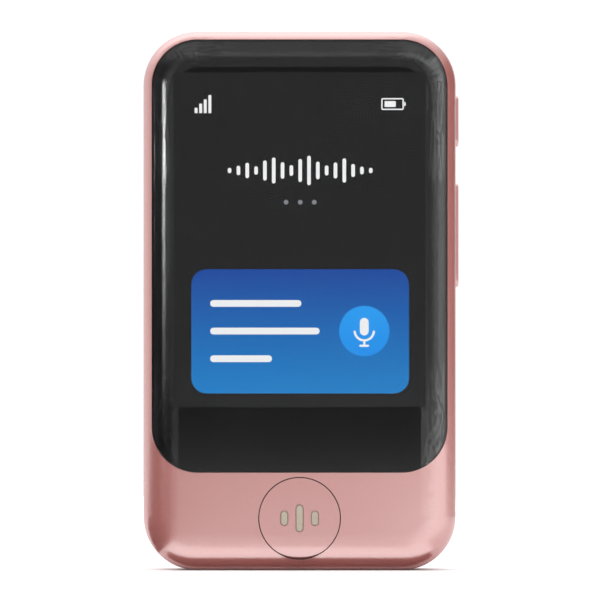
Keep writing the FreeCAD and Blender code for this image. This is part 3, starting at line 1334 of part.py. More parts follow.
def antenna_carrier():
    low, high = carrier_low(), CARRIER_TOP
    half = CARRIER_WIDTH / 2
    outer = box(CARRIER_X - half, CARRIER_X + half, SUB_BOARD_BACK, carrier_back(), low, high)
    inner = box(CARRIER_X - half + CARRIER_WALL, CARRIER_X + half - CARRIER_WALL, SUB_BOARD_BACK - PAST,
                carrier_back() - CARRIER_WALL, low + CARRIER_WALL, high - CARRIER_WALL)
    return outer.cut(inner)


def antenna_track():
    low, high = carrier_low() + ANTENNA_MARGIN, CARRIER_TOP - ANTENNA_MARGIN
    half = CARRIER_WIDTH / 2 - ANTENNA_MARGIN
    left, right = CARRIER_X - half, CARRIER_X + half
    y0, y1 = carrier_back(), carrier_back() + ANTENNA_THICK
    sheet = box(left, right, y0, y1, low, high)
    slot = box(left + ANTENNA_TRACK, right + PAST, y0 - PAST, y1 + PAST, low + ANTENNA_TRACK,
               high - ANTENNA_TRACK)
    return sheet.cut(slot)


PIECES = (
    front_housing, back_cover, cover_glass, glass_ink, glass_tape, talk_button, talk_light_guide,
    power_key, volume_rocker, sim_tray, sim_card, camera_ring, camera_window, flash_lens,
    speaker_mesh, strap_bar, usb_shell, usb_tongue, usb_contacts, optical_adhesive, touch_sensor,
    lcd_panel, backlight_unit, display_flex, chassis_plate, main_board, front_shield_can,
    rear_shield_can, main_chips, main_connectors, sub_board, sub_connectors, link_flex,
    screws, talk_dome, talk_leds, light_collar, power_dome, volume_domes, key_flex, key_bracket,
    sim_socket, sim_contacts, eject_rod, eject_lever, lever_rivet, camera_module, flash_led,
    top_microphone, top_mic_boot, bottom_microphone, bottom_mic_boot, speaker, speaker_gasket,
    antenna_carrier, antenna_track, battery_cell, battery_circuit, battery_lead,
    battery_tape,
)


def main():
    """Builds every piece and writes it to a file of its own."""
    os.makedirs("parts", exist_ok=True)
    for piece in PIECES:
        piece().exportStep("parts/" + piece.__name__ + ".step")


main()
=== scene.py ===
"""Handheld voice translator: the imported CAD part, dressed and lit as in a product photograph."""

import logging
import math
from dataclasses import dataclass
from enum import Enum
from typing import Callable, Sequence

import bpy
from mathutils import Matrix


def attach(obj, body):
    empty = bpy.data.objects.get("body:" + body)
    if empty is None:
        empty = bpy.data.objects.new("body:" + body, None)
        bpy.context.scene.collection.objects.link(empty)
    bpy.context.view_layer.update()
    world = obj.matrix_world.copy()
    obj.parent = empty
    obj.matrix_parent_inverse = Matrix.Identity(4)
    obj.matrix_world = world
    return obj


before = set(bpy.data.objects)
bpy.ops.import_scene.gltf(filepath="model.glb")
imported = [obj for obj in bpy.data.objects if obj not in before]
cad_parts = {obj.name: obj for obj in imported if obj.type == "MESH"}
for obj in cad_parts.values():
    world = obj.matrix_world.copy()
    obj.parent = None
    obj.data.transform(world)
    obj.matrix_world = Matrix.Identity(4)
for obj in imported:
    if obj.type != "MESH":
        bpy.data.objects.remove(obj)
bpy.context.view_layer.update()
LOG = logging.getLogger("translator")
MM = 0.001
UPRIGHT = math.pi / 2
# Two points nearer than this, in metres, are the same point.
SAME = 1e-7
# A corner's radius stays this share under half a side, so that its ends don't meet.
NEARLY_HALF = 0.999
# A face whose normal has more than this along an axis faces that way.
FACING = 0.9
# At scale 1 a wave texture turns by this many radians in a metre.
WAVE_TURN = 20
WHITE = (1, 1, 1, 1)
Colour = tuple[float, float, float, float]


def linear(code: str) -> Colour:
    """Turns an sRGB hex colour to linear light.

    Args:
        code: six hex digits, with or without a leading hash.

    Returns:
        Red, green, blue and an alpha of 1, in linear light.
    """
    digits = code.lstrip("#")
    parts = [int(digits[place:place + 2], 16) / 255 for place in (0, 2, 4)]
    light = [c / 12.92 if c <= 0.04045 else ((c + 0.055) / 1.055) ** 2.4 for c in parts]
    return (light[0], light[1], light[2], 1.0)


def add_node(tree: bpy.types.NodeTree, kind: str, settings: dict | None = None,
             inputs: dict | None = None, **options) -> bpy.types.Node:
    """Adds a node, with its options, its numbers and the links that come into it.

    Args:
        tree: the node tree that the node goes in.
        kind: Blender's name for the node's type.
        settings: numbers or colours by input name or place.
        inputs: output sockets to link in, by input name or place.
        options: the node's own properties.

    Returns:
        The new node.
    """
    made = tree.nodes.new(kind)
    for name, value in options.items():
        setattr(made, name, value)
    for name, value in (settings or {}).items():
        made.inputs[name].default_value = value
    for name, socket in (inputs or {}).items():
        tree.links.new(socket, made.inputs[name])
    return made


def blank_material(name: str) -> tuple[bpy.types.Material, bpy.types.NodeTree, bpy.types.Node]:
    """Makes an empty material with a shader joined to its output.

    Args:
        name: the material's name.

    Returns:
        The material, its node tree and its Principled shader.
    """
    material = bpy.data.materials.new(name)
    material.use_nodes = True
    tree = material.node_tree
    tree.nodes.clear()
    shader = add_node(tree, "ShaderNodeBsdfPrincipled")
    add_node(tree, "ShaderNodeOutputMaterial", inputs={"Surface": shader.outputs[0]})
    return material, tree, shader


def object_place(tree: bpy.types.NodeTree,
                 scale: Sequence[float] = (1, 1, 1)) -> bpy.types.NodeSocket:
    """The piece's own coordinates, in metres, stretched for a pattern with a direction.

    Args:
        tree: the material's node tree.
        scale: how much each axis is stretched.

    Returns:
        The vector to give to a pattern.
    """
    place = add_node(tree, "ShaderNodeTexCoord")
    mapped = add_node(tree, "ShaderNodeMapping", {"Scale": scale}, {"Vector": place.outputs["Object"]})
    return mapped.outputs[0]


def wave_scale(pitch_mm: float) -> float:
    """Gives the scale at which a wave texture's bands have this pitch."""
    return 2 * math.pi / (WAVE_TURN * pitch_mm * MM)


class Axis(Enum):
    """The way that a pattern's bands are counted."""

    X = "across the body"
    Y = "through the body"
    Z = "up the body"


class Part(Enum):
    """What is selected on a mesh, by the name of the list that holds it."""

    VERT = "vertices"
    EDGE = "edges"
    FACE = "polygons"


@dataclass(frozen=True)
class PearlPaint:
    """Pearl lacquer on moulded plastic or metal.

    A saturated rose ground shows in the shade, and a satin layer of mica flakes over it
    lays a soft, paler reflection on what faces a light. The coat's IOR is that of the
    titania on such flakes. Real flakes are 0.02 to 0.1 mm; these are coarser, so that
    they show.
    """

    name: str
    colour: str
    deep: str
    metallic: float = 0.2
    roughness: float = 0.4
    mica_ior: float = 2.8
    mica_roughness: float = 0.24
    flake_mm: float = 0.16
    mica_spread: float = 0.03
    flake_share: float = 0.9
    cloud_mm: float = 9
    cloud_share: float = 0.1
    ripple_mm: float = 0.01

    def build(self) -> bpy.types.Material:
        """Makes the material.

        Returns:
            The material.
        """
        material, tree, shader = blank_material(self.name)
        shader.inputs["Metallic"].default_value = self.metallic
        shader.inputs["Coat Weight"].default_value = 1.0
        shader.inputs["Coat IOR"].default_value = self.mica_ior
        shader.inputs["Roughness"].default_value = self.roughness
        place = object_place(tree)
        flakes = add_node(tree, "ShaderNodeTexNoise", {"Scale": 1 / (self.flake_mm * MM), "Detail": 2.0},
                          {"Vector": place})
        clouds = add_node(tree, "ShaderNodeTexNoise", {"Scale": 1 / (self.cloud_mm * MM), "Detail": 1.0},
                          {"Vector": place})
        mixed = add_node(tree, "ShaderNodeMath", {1: self.flake_share}, {0: flakes.outputs[0]},
                         operation="MULTIPLY")
        summed = add_node(tree, "ShaderNodeMath", {1: self.cloud_share},
                          {0: clouds.outputs[0], 2: mixed.outputs[0]}, operation="MULTIPLY_ADD")
        ramp = add_node(tree, "ShaderNodeValToRGB", inputs={0: summed.outputs[0]})
        for stop, at, code in zip(ramp.color_ramp.elements, (0.3, 0.7), (self.deep, self.colour)):
            stop.position = at
            stop.color = linear(code)
        tree.links.new(ramp.outputs[0], shader.inputs["Base Color"])
        rough = add_node(tree, "ShaderNodeMapRange",
                         {"To Min": self.mica_roughness - self.mica_spread,
                          "To Max": self.mica_roughness + self.mica_spread},
                         {"Value": flakes.outputs[0]})
        tree.links.new(rough.outputs[0], shader.inputs["Coat Roughness"])
        bump = add_node(tree, "ShaderNodeBump", {"Strength": 0.05, "Distance": self.ripple_mm * MM},
                        {"Height": flakes.outputs[0]})
        for socket in ("Normal", "Coat Normal"):
            tree.links.new(bump.outputs[0], shader.inputs[socket])
        return material


@dataclass(frozen=True)
class ClearGlass:
    """Polished glass or another clear solid, with faint wipe marks in its gloss."""

    name: str
    tint: str = "ffffff"
    ior: float = 1.5
    roughness: float = 0.02
    alpha: float = 1.0
    wipe_mm: float = 14
    wipe_spread: float = 0.02

    def build(self) -> bpy.types.Material:
        """Makes the material.

        Returns:
            The material.
        """
        material, tree, shader = blank_material(self.name)
        shader.inputs["Base Color"].default_value = linear(self.tint)
        shader.inputs["Transmission Weight"].default_value = 1.0
        shader.inputs["IOR"].default_value = self.ior
        shader.inputs["Alpha"].default_value = self.alpha
        wipe = add_node(tree, "ShaderNodeTexNoise", {"Scale": 1 / (self.wipe_mm * MM), "Detail": 3.0},
                        {"Vector": object_place(tree)})
        rough = add_node(tree, "ShaderNodeMapRange",
                         {"From Min": 0.35, "From Max": 0.75, "To Min": self.roughness,
                          "To Max": self.roughness + self.wipe_spread}, {"Value": wipe.outputs[0]})
        tree.links.new(rough.outputs[0], shader.inputs["Roughness"])
        return material


@dataclass(frozen=True)
class Moulded:
    """Plastic, rubber, metal, ink or foam with a fine grain from its mould, mill or cells."""

    name: str
    colour: str
    other: str
    roughness: float = 0.5
    grain_mm: float = 0.25
    depth_mm: float = 0.01
    metallic: float = 0.0
    stretch: tuple[float, float, float] = (1, 1, 1)
    specular: float = 0.5
    spread: float = 0.05

    def build(self) -> bpy.types.Material:
        """Makes the material.

        Returns:
            The material.
        """
        material, tree, shader = blank_material(self.name)
        shader.inputs["Metallic"].default_value = self.metallic
        shader.inputs["Specular IOR Level"].default_value = self.specular
        grain = add_node(tree, "ShaderNodeTexNoise", {"Scale": 1 / (self.grain_mm * MM), "Detail": 3.0},
                         {"Vector": object_place(tree, self.stretch)})
        ramp = add_node(tree, "ShaderNodeValToRGB", inputs={0: grain.outputs[0]})
        for stop, at, code in zip(ramp.color_ramp.elements, (0.35, 0.65), (self.other, self.colour)):
            stop.position = at
            stop.color = linear(code)
        tree.links.new(ramp.outputs[0], shader.inputs["Base Color"])
        rough = add_node(tree, "ShaderNodeMapRange", {"To Min": self.roughness - self.spread,
                                                      "To Max": self.roughness + self.spread},
                         {"Value": grain.outputs[0]})
        tree.links.new(rough.outputs[0], shader.inputs["Roughness"])
        bump = add_node(tree, "ShaderNodeBump", {"Strength": 0.3, "Distance": self.depth_mm * MM},
                        {"Height": grain.outputs[0]})
        tree.links.new(bump.outputs[0], shader.inputs["Normal"])
        return material


@dataclass(frozen=True)
class Striped:
    """A film or board with copper tracks that run one way under its coloured top coat."""

    name: str
    colour: str
    track: str
    pitch_mm: float
    axis: Axis = Axis.X
    roughness: float = 0.35
    patch_mm: float = 3.5
    track_mm: float = 0.02

    def build(self) -> bpy.types.Material:
        """Makes the material; the tracks show in patches and stand up a little.

        Returns:
            The material.
        """
        material, tree, shader = blank_material(self.name)
        place = object_place(tree)
        wave = add_node(tree, "ShaderNodeTexWave", {"Scale": wave_scale(self.pitch_mm), "Distortion": 0.0},
                        {"Vector": place}, bands_direction=self.axis.name, wave_profile="SIN")
        cells = add_node(tree, "ShaderNodeTexNoise", {"Scale": 1 / (self.patch_mm * MM), "Detail": 0.0},
                         {"Vector": place})
        gate = add_node(tree, "ShaderNodeMath", {1: 0.5}, {0: cells.outputs[0]}, operation="GREATER_THAN")
        shown = add_node(tree, "ShaderNodeMath", inputs={0: wave.outputs["Fac"], 1: gate.outputs[0]},
                         operation="MULTIPLY")
        ramp = add_node(tree, "ShaderNodeValToRGB", inputs={0: shown.outputs[0]})
        for stop, at, code in zip(ramp.color_ramp.elements, (0.45, 0.6), (self.colour, self.track)):
            stop.position = at
            stop.color = linear(code)
        tree.links.new(ramp.outputs[0], shader.inputs["Base Color"])
        shader.inputs["Roughness"].default_value = self.roughness
        bump = add_node(tree, "ShaderNodeBump", {"Strength": 0.4, "Distance": self.track_mm * MM},
                        {"Height": shown.outputs[0]})
        tree.links.new(bump.outputs[0], shader.inputs["Normal"])
        return material


@dataclass(frozen=True)
class Woven:
    """Woven steel wire cloth: two sets of round wires that cross at right angles.

    Real cloth has a pitch of about 0.1 mm; this one is coarser, so that it shows.
    """

    name: str
    wire: str
    hole: str
    pitch_mm: float
    roughness: float = 0.35
    metallic: float = 0.9
    wire_mm: float = 0.06

    def build(self) -> bpy.types.Material:
        """Makes the material.

        Returns:
            The material.
        """
        material, tree, shader = blank_material(self.name)
        place = object_place(tree)
        sets = [add_node(tree, "ShaderNodeTexWave", {"Scale": wave_scale(self.pitch_mm)},
                         {"Vector": place}, bands_direction=axis.name) for axis in (Axis.X, Axis.Z)]
        top = add_node(tree, "ShaderNodeMath",
                       inputs={0: sets[0].outputs["Fac"], 1: sets[1].outputs["Fac"]},
                       operation="MAXIMUM")
        ramp = add_node(tree, "ShaderNodeValToRGB", inputs={0: top.outputs[0]})
        for stop, at, code in zip(ramp.color_ramp.elements, (0.55, 0.72), (self.hole, self.wire)):
            stop.position = at
            stop.color = linear(code)
        tree.links.new(ramp.outputs[0], shader.inputs["Base Color"])
        shader.inputs["Metallic"].default_value = self.metallic
        shader.inputs["Roughness"].default_value = self.roughness
        bump = add_node(tree, "ShaderNodeBump", {"Strength": 0.6, "Distance": self.wire_mm * MM},
                        {"Height": top.outputs[0]})
        tree.links.new(bump.outputs[0], shader.inputs["Normal"])
        return material


@dataclass(frozen=True)
class LitPixels:
    """A lit part of the display's picture, shaded from its lower to its upper edge."""

    name: str
    low: str
    high: str
    from_mm: float
    to_mm: float
    strength: float = 1.0
    unlit: str = "050505"
    roughness: float = 0.6

    def build(self) -> bpy.types.Material:
        """Makes the material.

        Returns:
            The material.
        """
        material, tree, shader = blank_material(self.name)
        place = add_node(tree, "ShaderNodeSeparateXYZ", inputs={0: object_place(tree)})
        rise = add_node(tree, "ShaderNodeMapRange",
                        {"From Min": self.from_mm * MM, "From Max": self.to_mm * MM},
                        {"Value": place.outputs["Z"]})
        ramp = add_node(tree, "ShaderNodeValToRGB", inputs={0: rise.outputs[0]})
        for stop, code in zip(ramp.color_ramp.elements, (self.low, self.high)):
            stop.color = linear(code)
        tree.links.new(ramp.outputs[0], shader.inputs["Emission Color"])
        shader.inputs["Emission Strength"].default_value = self.strength
        shader.inputs["Base Color"].default_value = linear(self.unlit)
        shader.inputs["Specular IOR Level"].default_value = 0.0
        shader.inputs["Roughness"].default_value = self.roughness
        return material


class Lacquers(Enum):
    """The rose-gold lacquers of the outside."""

    CASE = PearlPaint("pearl_rose_gold_lacquer", "b66862", "ac5f59")
    KEY = PearlPaint("pearl_rose_gold_key_lacquer", "b66862", "ac5f59", mica_roughness=0.2)


Finish = PearlPaint | ClearGlass | Moulded | Striped | Woven

# Each finish comes with the CAD nodes that wear it, after a comment on what the eye sees.
FINISHES: tuple[tuple[Finish, str], ...] = (
    # Sprayed pearl lacquer: a deep rose under a soft pale reflection.
    (Lacquers.CASE.value, "front_housing back_cover"),
    # The same lacquer on small pieces, which come out a little glossier.
    (Lacquers.KEY.value, "talk_button power_key volume_rocker sim_tray camera_ring"),
    # Toughened glass with a finger-proof coat: it mirrors the room softly.
    (ClearGlass("toughened_cover_glass", roughness=0.09), "cover_glass"),
    # Optical glue and a sensor film, matched to the glass so that neither is seen.
    (ClearGlass("index_matched_clear_layer", alpha=0.01), "optical_adhesive touch_sensor"),
    # Screen-printed ink: an even, soft black behind the glass.
    (Moulded("screen_printed_black_ink", "29292c", "272729", 0.2, 0.1, 0.0002, specular=0.35),
     "glass_ink"),
    # Closed-cell foam: dull, with fine pores.
    (Moulded("black_foam_tape", "161616", "0b0b0b", 0.9, 0.12, 0.05), "glass_tape battery_tape"),
    # An unlit display: near black, with no shine of its own.
    (Moulded("black_display_glass", "101013", "0e0e11", 0.5, 0.1, 0.001, specular=0.0), "lcd_panel"),
    # Filled polycarbonate that spreads light: plain milk white.
    (Moulded("white_polycarbonate", "e6e6e2", "dcdcd8", 0.4, 0.3), "backlight_unit light_collar"),
    # Milky acrylic, seen unlit: a warm grey with a soft gloss.
    (Moulded("milky_light_guide", "b3a997", "aaa08f", 0.35, 0.2, 0.002), "talk_light_guide"),
    # Polyimide film: brown amber, paler where copper tracks run under it.
    (Striped("amber_polyimide_film", "5a2f0b", "8a4c12", 0.35, Axis.X),
     "display_flex link_flex battery_lead"),
    # The same film beside the keys, where its tracks run up the body.
    (Striped("amber_polyimide_key_film", "5a2f0b", "8a4c12", 0.35, Axis.Y), "key_flex"),
    # Solder mask over copper: deep green with paler raised tracks.
    (Striped("green_solder_mask", "0b3a22", "17603a", 0.5, Axis.Z, 0.3), "main_board sub_board"),
    # Glass-filled nylon and moulding compound: matt black with a sandy grain.
    (Moulded("black_glass_filled_nylon", "1a1a1b", "111112", 0.5, 0.2, 0.01),
     "usb_tongue main_chips main_connectors sub_connectors antenna_carrier battery_circuit"),
    # Smooth moulded black with a low gloss.
    (Moulded("black_camera_body", "121214", "0c0c0d", 0.35, 0.15, 0.004), "camera_module speaker"),
    # Cold-rolled stainless steel: bright, with its grain drawn out along the sheet.
    (Moulded("rolled_stainless_steel", "c9c9c8", "b6b6b4", 0.3, 0.4, 0.003, 1.0, (1, 1, 0.05)),
     "front_shield_can rear_shield_can sim_socket usb_shell key_bracket chassis_plate "
     "eject_lever eject_rod lever_rivet talk_dome power_dome volume_domes strap_bar"),
    # Black oxide on steel: dark, with a metal's glint.
    (Moulded("blackened_screw_steel", "3c3c3e", "2b2b2d", 0.35, 0.2, 0.004, 1.0), "screws"),
    # Thin gold plating: a warm, smooth yellow metal.
    (Moulded("gold_plated_contact", "e0b25c", "cf9f48", 0.25, 0.3, 0.002, 1.0),
     "usb_contacts sim_contacts antenna_track"),
    # Nickel plating: a warm, pale metal.
    (Moulded("nickel_plated_can", "cfcdc8", "bdbbb6", 0.3, 0.3, 0.002, 1.0),
     "top_microphone bottom_microphone"),
    # Silicone rubber: dark, dry and soft-looking.
    (Moulded("silicone_rubber", "202021", "171718", 0.7, 0.15, 0.01),
     "top_mic_boot bottom_mic_boot speaker_gasket"),
    # Card plastic: off-white with a fine eggshell surface.
    (Moulded("white_card_plastic", "ecebe7", "e2e1dc", 0.45, 0.2, 0.003), "sim_card"),
    # Coated glass: clear, with a faint blue cast.
    (ClearGlass("coated_camera_glass", "b9bccb", 1.52, alpha=0.3), "camera_window"),
    # Clear acrylic: warm white, and a little cloudy.
    (ClearGlass("clear_flash_lens", "fbf8ee", 1.49, 0.06, alpha=0.35), "flash_lens"),
    # Phosphor in clear resin: a flat custard yellow.
    (Moulded("yellow_phosphor", "e8d77a", "dcc964", 0.5, 0.1, 0.004), "flash_led talk_leds"),
    # Laminated foil of a pouch cell: grey metal with shallow dents.
    (Moulded("aluminium_laminate_foil", "a9abb0", "9b9da2", 0.4, 1.2, 0.03, 0.9), "battery_cell"),
    # Steel cloth: bright wires over dark holes.
    (Woven("woven_steel_mesh", "8f8d8a", "0c0c0c", 0.28), "speaker_mesh"),
)


def dress(name: str, material: bpy.types.Material) -> None:
    """Gives a CAD node a material.

    Args:
        name: the node.
        material: what it is made of.
    """
    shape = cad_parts[name]
    shape.data.materials.clear()
    shape.data.materials.append(material)
    LOG.info("%s: %s", name, material.name)


def dress_nodes() -> None:
    """Gives every CAD node its material."""
    for finish, names in FINISHES:
        material = finish.build()
        for name in names.split():
            dress(name, material)


def deselect() -> None:
    """Leaves nothing selected, so that an operator acts only on what comes next."""
    if bpy.context.object and bpy.context.object.mode != "OBJECT":
        bpy.ops.object.mode_set(mode="OBJECT")
    bpy.ops.object.select_all(action="DESELECT")


def choose(*shapes: bpy.types.Object) -> None:
    """Selects these pieces alone, and makes the first of them the active one.

    Args:
        shapes: the pieces.
    """
    deselect()
    for shape in shapes:
        shape.select_set(True)
    bpy.context.view_layer.objects.active = shapes[0]


def in_edit(part: Part) -> None:
    """Opens the active mesh for editing.

    Args:
        part: what is selected on it.
    """
    bpy.ops.object.mode_set(mode="EDIT")
    bpy.ops.mesh.select_mode(type=part.name)


def pick(shape: bpy.types.Object, part: Part, wanted: Callable[[bpy.types.bpy_struct], bool]) -> None:
    """Opens a mesh for editing, with only what a test names selected on it.

    Args:
        shape: the piece, which is the active one.
        part: what is selected.
        wanted: takes one point, edge or face and says whether it is wanted.
    """
    in_edit(part)
    bpy.ops.mesh.select_all(action="DESELECT")
    bpy.ops.object.mode_set(mode="OBJECT")
    for item in getattr(shape.data, part.value):
        item.select = wanted(item)
    in_edit(part)


def faces_outwards() -> None:
    """Selects the whole mesh that is open, turns its faces outwards and leaves edit mode."""
    bpy.ops.mesh.select_all(action="SELECT")
    bpy.ops.mesh.normals_make_consistent(inside=False)
    bpy.ops.object.mode_set(mode="OBJECT")


def weld() -> None:
    """Merges the active mesh's doubled points, and turns its faces outwards."""
    in_edit(Part.VERT)
    bpy.ops.mesh.select_all(action="SELECT")
    bpy.ops.mesh.remove_doubles(threshold=SAME)
    faces_outwards()


def finish_shape(shape: bpy.types.Object, name: str, material: bpy.types.Material,
                 body: str = "case", angle: float = 35.0) -> None:
    """Puts a piece's place in its mesh, smooths it, dresses it and says what it rides on.

    Args:
        shape: the piece.
        name: its name.
        material: its finish.
        body: the body it rides on.
        angle: the sharpest bend that is still shaded smooth, in degrees.
    """
    choose(shape)
    bpy.ops.object.transform_apply(location=True, rotation=True, scale=True)
    bpy.ops.object.shade_smooth_by_angle(angle=math.radians(angle))
    shape.name = name
    shape.data.name = name
    shape.data.materials.clear()
    shape.data.materials.append(material)
    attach(shape, body)
    LOG.info("%s: %s", name, material.name)


def runs_back(shape: bpy.types.Object, edge: bpy.types.MeshEdge) -> bool:
    """Says whether an edge runs straight from the front to the back.

    Args:
        shape: the piece that has the edge.
        edge: the edge.

    Returns:
        Whether its two ends differ only in depth.
    """
    a, b = (shape.data.vertices[index].co for index in edge.vertices)
    return abs(a.x - b.x) < SAME and abs(a.z - b.z) < SAME


def rounded_plate(x: float, z: float, width: float, height: float, radius: float,
                  front: float, back: float, steps: int = 6) -> bpy.types.Object:
    """Models a flat plate with rounded corners that faces the user, in millimetres.

    Args:
        x: its middle across the body.
        z: its middle up the body.
        width: its width.
        height: its height.
        radius: its corners' radius.
        front: the depth of its front face.
        back: the depth of its back face.
        steps: how many segments each corner has.

    Returns:
        The plate, in object mode.
    """
    deselect()
    bpy.ops.mesh.primitive_cube_add(size=1, location=(x * MM, (front + back) / 2 * MM, z * MM))
    plate = bpy.context.object
    plate.scale = (width * MM, (back - front) * MM, height * MM)
    bpy.ops.object.transform_apply(location=True, rotation=True, scale=True)
    pick(plate, Part.EDGE, lambda edge: runs_back(plate, edge))
    limit = min(width, height) / 2 * NEARLY_HALF
    bpy.ops.mesh.bevel(offset=min(radius, limit) * MM, segments=steps, affect="EDGES")
    bpy.ops.object.mode_set(mode="OBJECT")
    return plate


def joined(shapes: Sequence[bpy.types.Object]) -> bpy.types.Object:
    """Joins meshes into one.

    Args:
        shapes: two or more meshes; the first one stays.

    Returns:
        The joined mesh.
    """
    choose(*shapes)
    bpy.ops.object.join()
    return bpy.context.object


def turned(x: float, z: float, steps: Sequence[tuple[float, float]], sides: int = 48,
           close_start: bool = True, close_end: bool = True) -> bpy.types.Object:
    """Models a turned piece whose axis runs from the front to the back, in millimetres.

    It starts as a ring, and each step extrudes it to a depth and draws it to a radius.

    Args:
        x: its middle across the body.
        z: its middle up the body.
        steps: radius and depth of each ring, in order.
        sides: how many sides it has.
        close_start: whether the first ring is filled.
        close_end: whether the last ring is filled.

    Returns:
        The piece, in object mode.
    """
    deselect()
    radius, depth = steps[0]
    fill = "NGON" if close_start else "NOTHING"
    bpy.ops.mesh.primitive_circle_add(vertices=sides, radius=radius * MM, fill_type=fill,
                                      location=(x * MM, depth * MM, z * MM), rotation=(UPRIGHT, 0, 0))
    shape = bpy.context.object
    bpy.ops.object.transform_apply(location=True, rotation=True, scale=True)
    in_edit(Part.EDGE)
    bpy.ops.mesh.select_all(action="SELECT")
    for new_radius, new_depth in steps[1:]:
        bpy.ops.mesh.extrude_edges_move(
            TRANSFORM_OT_translate={"value": (0, (new_depth - depth) * MM, 0)})
        ratio = new_radius / radius
        bpy.ops.transform.resize(value=(ratio, 1, ratio),
                                 center_override=(x * MM, new_depth * MM, z * MM))
        radius, depth = new_radius, new_depth
    if close_end:
        bpy.ops.mesh.edge_face_add()
    faces_outwards()
    return shape


def ring_between(x: float, z: float, outer: float, inner: float, front: float, back: float,
                 sides: int = 64, bevel: float = 0.25) -> bpy.types.Object:
    """Models a flat ring with bevelled edges whose axis runs from the front to the back.

    Args:
        x: its middle across the body, in millimetres.
        z: its middle up the body.
        outer: its outer radius.
        inner: its inner radius.
        front: the depth of its front face.
        back: the depth of its back face.
        sides: how many sides it has.
        bevel: the share of its thinner side that each bevel takes.

    Returns:
        The ring.
    """
    edge = min(outer - inner, back - front) * bevel
    steps = ((inner + edge, front), (outer - edge, front), (outer, front + edge), (outer, back - edge),
             (outer - edge, back), (inner + edge, back), (inner, back - edge), (inner, front + edge),
             (inner + edge, front))
    shape = turned(x, z, steps, sides, close_start=False, close_end=False)
    choose(shape)
    weld()
    return shape


@dataclass
class TalkKeyTrim:
    """The dust seal in the gap round the talk button, and the rims of its light windows; both are dark to
    paint the shade in those gaps.
    """

    x: float = 0.0
    z: float = 8.9
    seal_outer: float = 7.02
    seal_inner: float = 6.87
    seal_front: float = -5.64
    seal_back: float = -5.3
    bar_pitch: float = 2.6
    bar_width: float = 1.25
    bar_heights: tuple[float, ...] = (2.5, 4.6, 2.5)
    rim_width: float = 0.1
    rim_front: float = -5.744
    rim_back: float = -5.712
    # A silicone dust seal, coloured a dark red-brown as painted shade: it makes the dark line of shadow in
    # the gap.
    seal_and_gap_shade: Moulded = Moulded("oxide_red_silicone_seal", "1c0a09", "150706", 0.8, 0.2, 0.004)
    # Painted shade: a thin dark brown line round each window, for the shadow at its edge.
    rim: Moulded = Moulded("bronze_window_rim", "8d7767", "7d6858", 0.5, 0.2, 0.002)

    def window_rim(self, x: float, height: float) -> bpy.types.Object:
        """Models the thin dark rim inside one light window, which paints the shadow at its edge.

        Args:
            x: the window's middle across the body.
            height: the window's height.

        Returns:
            The rim.
        """
        rim = rounded_plate(x, self.z, self.bar_width, height, self.bar_width / 2, self.rim_front,
                            self.rim_back, steps=8)
        pick(rim, Part.FACE, lambda face: abs(face.normal.y) > FACING)
        bpy.ops.mesh.inset(thickness=self.rim_width * MM)
        bpy.ops.mesh.bridge_edge_loops()
        bpy.ops.object.mode_set(mode="OBJECT")
        return rim

    def build(self) -> None:
        """Models and dresses the trim."""
        seal_and_gap_shade = ring_between(self.x, self.z, self.seal_outer, self.seal_inner, self.seal_front,
                            self.seal_back, sides=96)
        # A real seal, whose dark colour paints the shadow in the button's gap.
        finish_shape(seal_and_gap_shade, "talk_button_dust_seal", self.seal_and_gap_shade.build())
        middle = len(self.bar_heights) // 2
        rims = [self.window_rim(self.x + (index - middle) * self.bar_pitch, height)
                for index, height in enumerate(self.bar_heights)]
        # The rims are painted shade: dark lines for the shadow round each window.
        finish_shape(joined(rims), "talk_light_window_rims", self.rim.build(), "talk_key")


@dataclass
class CameraOptics:
    """The baffle and the front lens in the camera's barrel, behind its cover window."""

    x: float = 14.0
    z: float = 81.2
    mouth: float = 4.68
    floor: float = 4.22
    bore: float = 1.88
    lip: float = 0.16
    step_deep: float = 0.07
    step_wide: float = 0.15
    foot: float = 0.04
    foot_gap: float = 0.02
    lens_radius: float = 0.95
    lens_gap: float = 0.14
    lens_seat: float = 0.01
    dome_seat: float = 0.05
    dome_rise: float = 0.28
    dome_angles: range = range(0, 85, 12)
    # Anodised aluminium: matt black, so that no ring of light shows round the lens.
    baffle: Moulded = Moulded("black_anodised_baffle", "101012", "0a0a0b", 0.4, 0.1, 0.002, 0.5)
    # Coated optical glass over a dark barrel: a deep magenta with a sharp gloss.
    lens: Moulded = Moulded("magenta_coated_lens", "1c1133", "130b26", 0.08, 0.4, 0.0002, specular=0.9)

    def build(self) -> None:
        """Models and dresses the optics; the baffle's steps run down to the lens."""
        radius, depth = self.bore - self.lip, self.mouth
        steps = [(self.bore, self.floor), (self.bore, self.mouth), (radius, self.mouth)]
        while radius > self.lens_radius + self.lens_gap:
            depth -= self.step_deep
            steps += [(radius, depth), (radius - self.step_wide, depth)]
            radius -= self.step_wide
        foot = self.floor + self.foot
        steps += [(radius, foot), (self.bore - self.foot_gap, foot)]
        shape = turned(self.x, self.z, steps, close_start=False, close_end=False)
        finish_shape(shape, "camera_baffle", self.baffle.build(), angle=20)
        rise = [(self.lens_radius * math.cos(angle),
                 self.floor + self.dome_seat + self.dome_rise * math.sin(angle))
                for angle in (math.radians(step) for step in self.dome_angles)]
        dome = turned(self.x, self.z, [(self.lens_radius, self.floor + self.lens_seat)] + rise)
        finish_shape(dome, "camera_front_lens", self.lens.build(), angle=60)


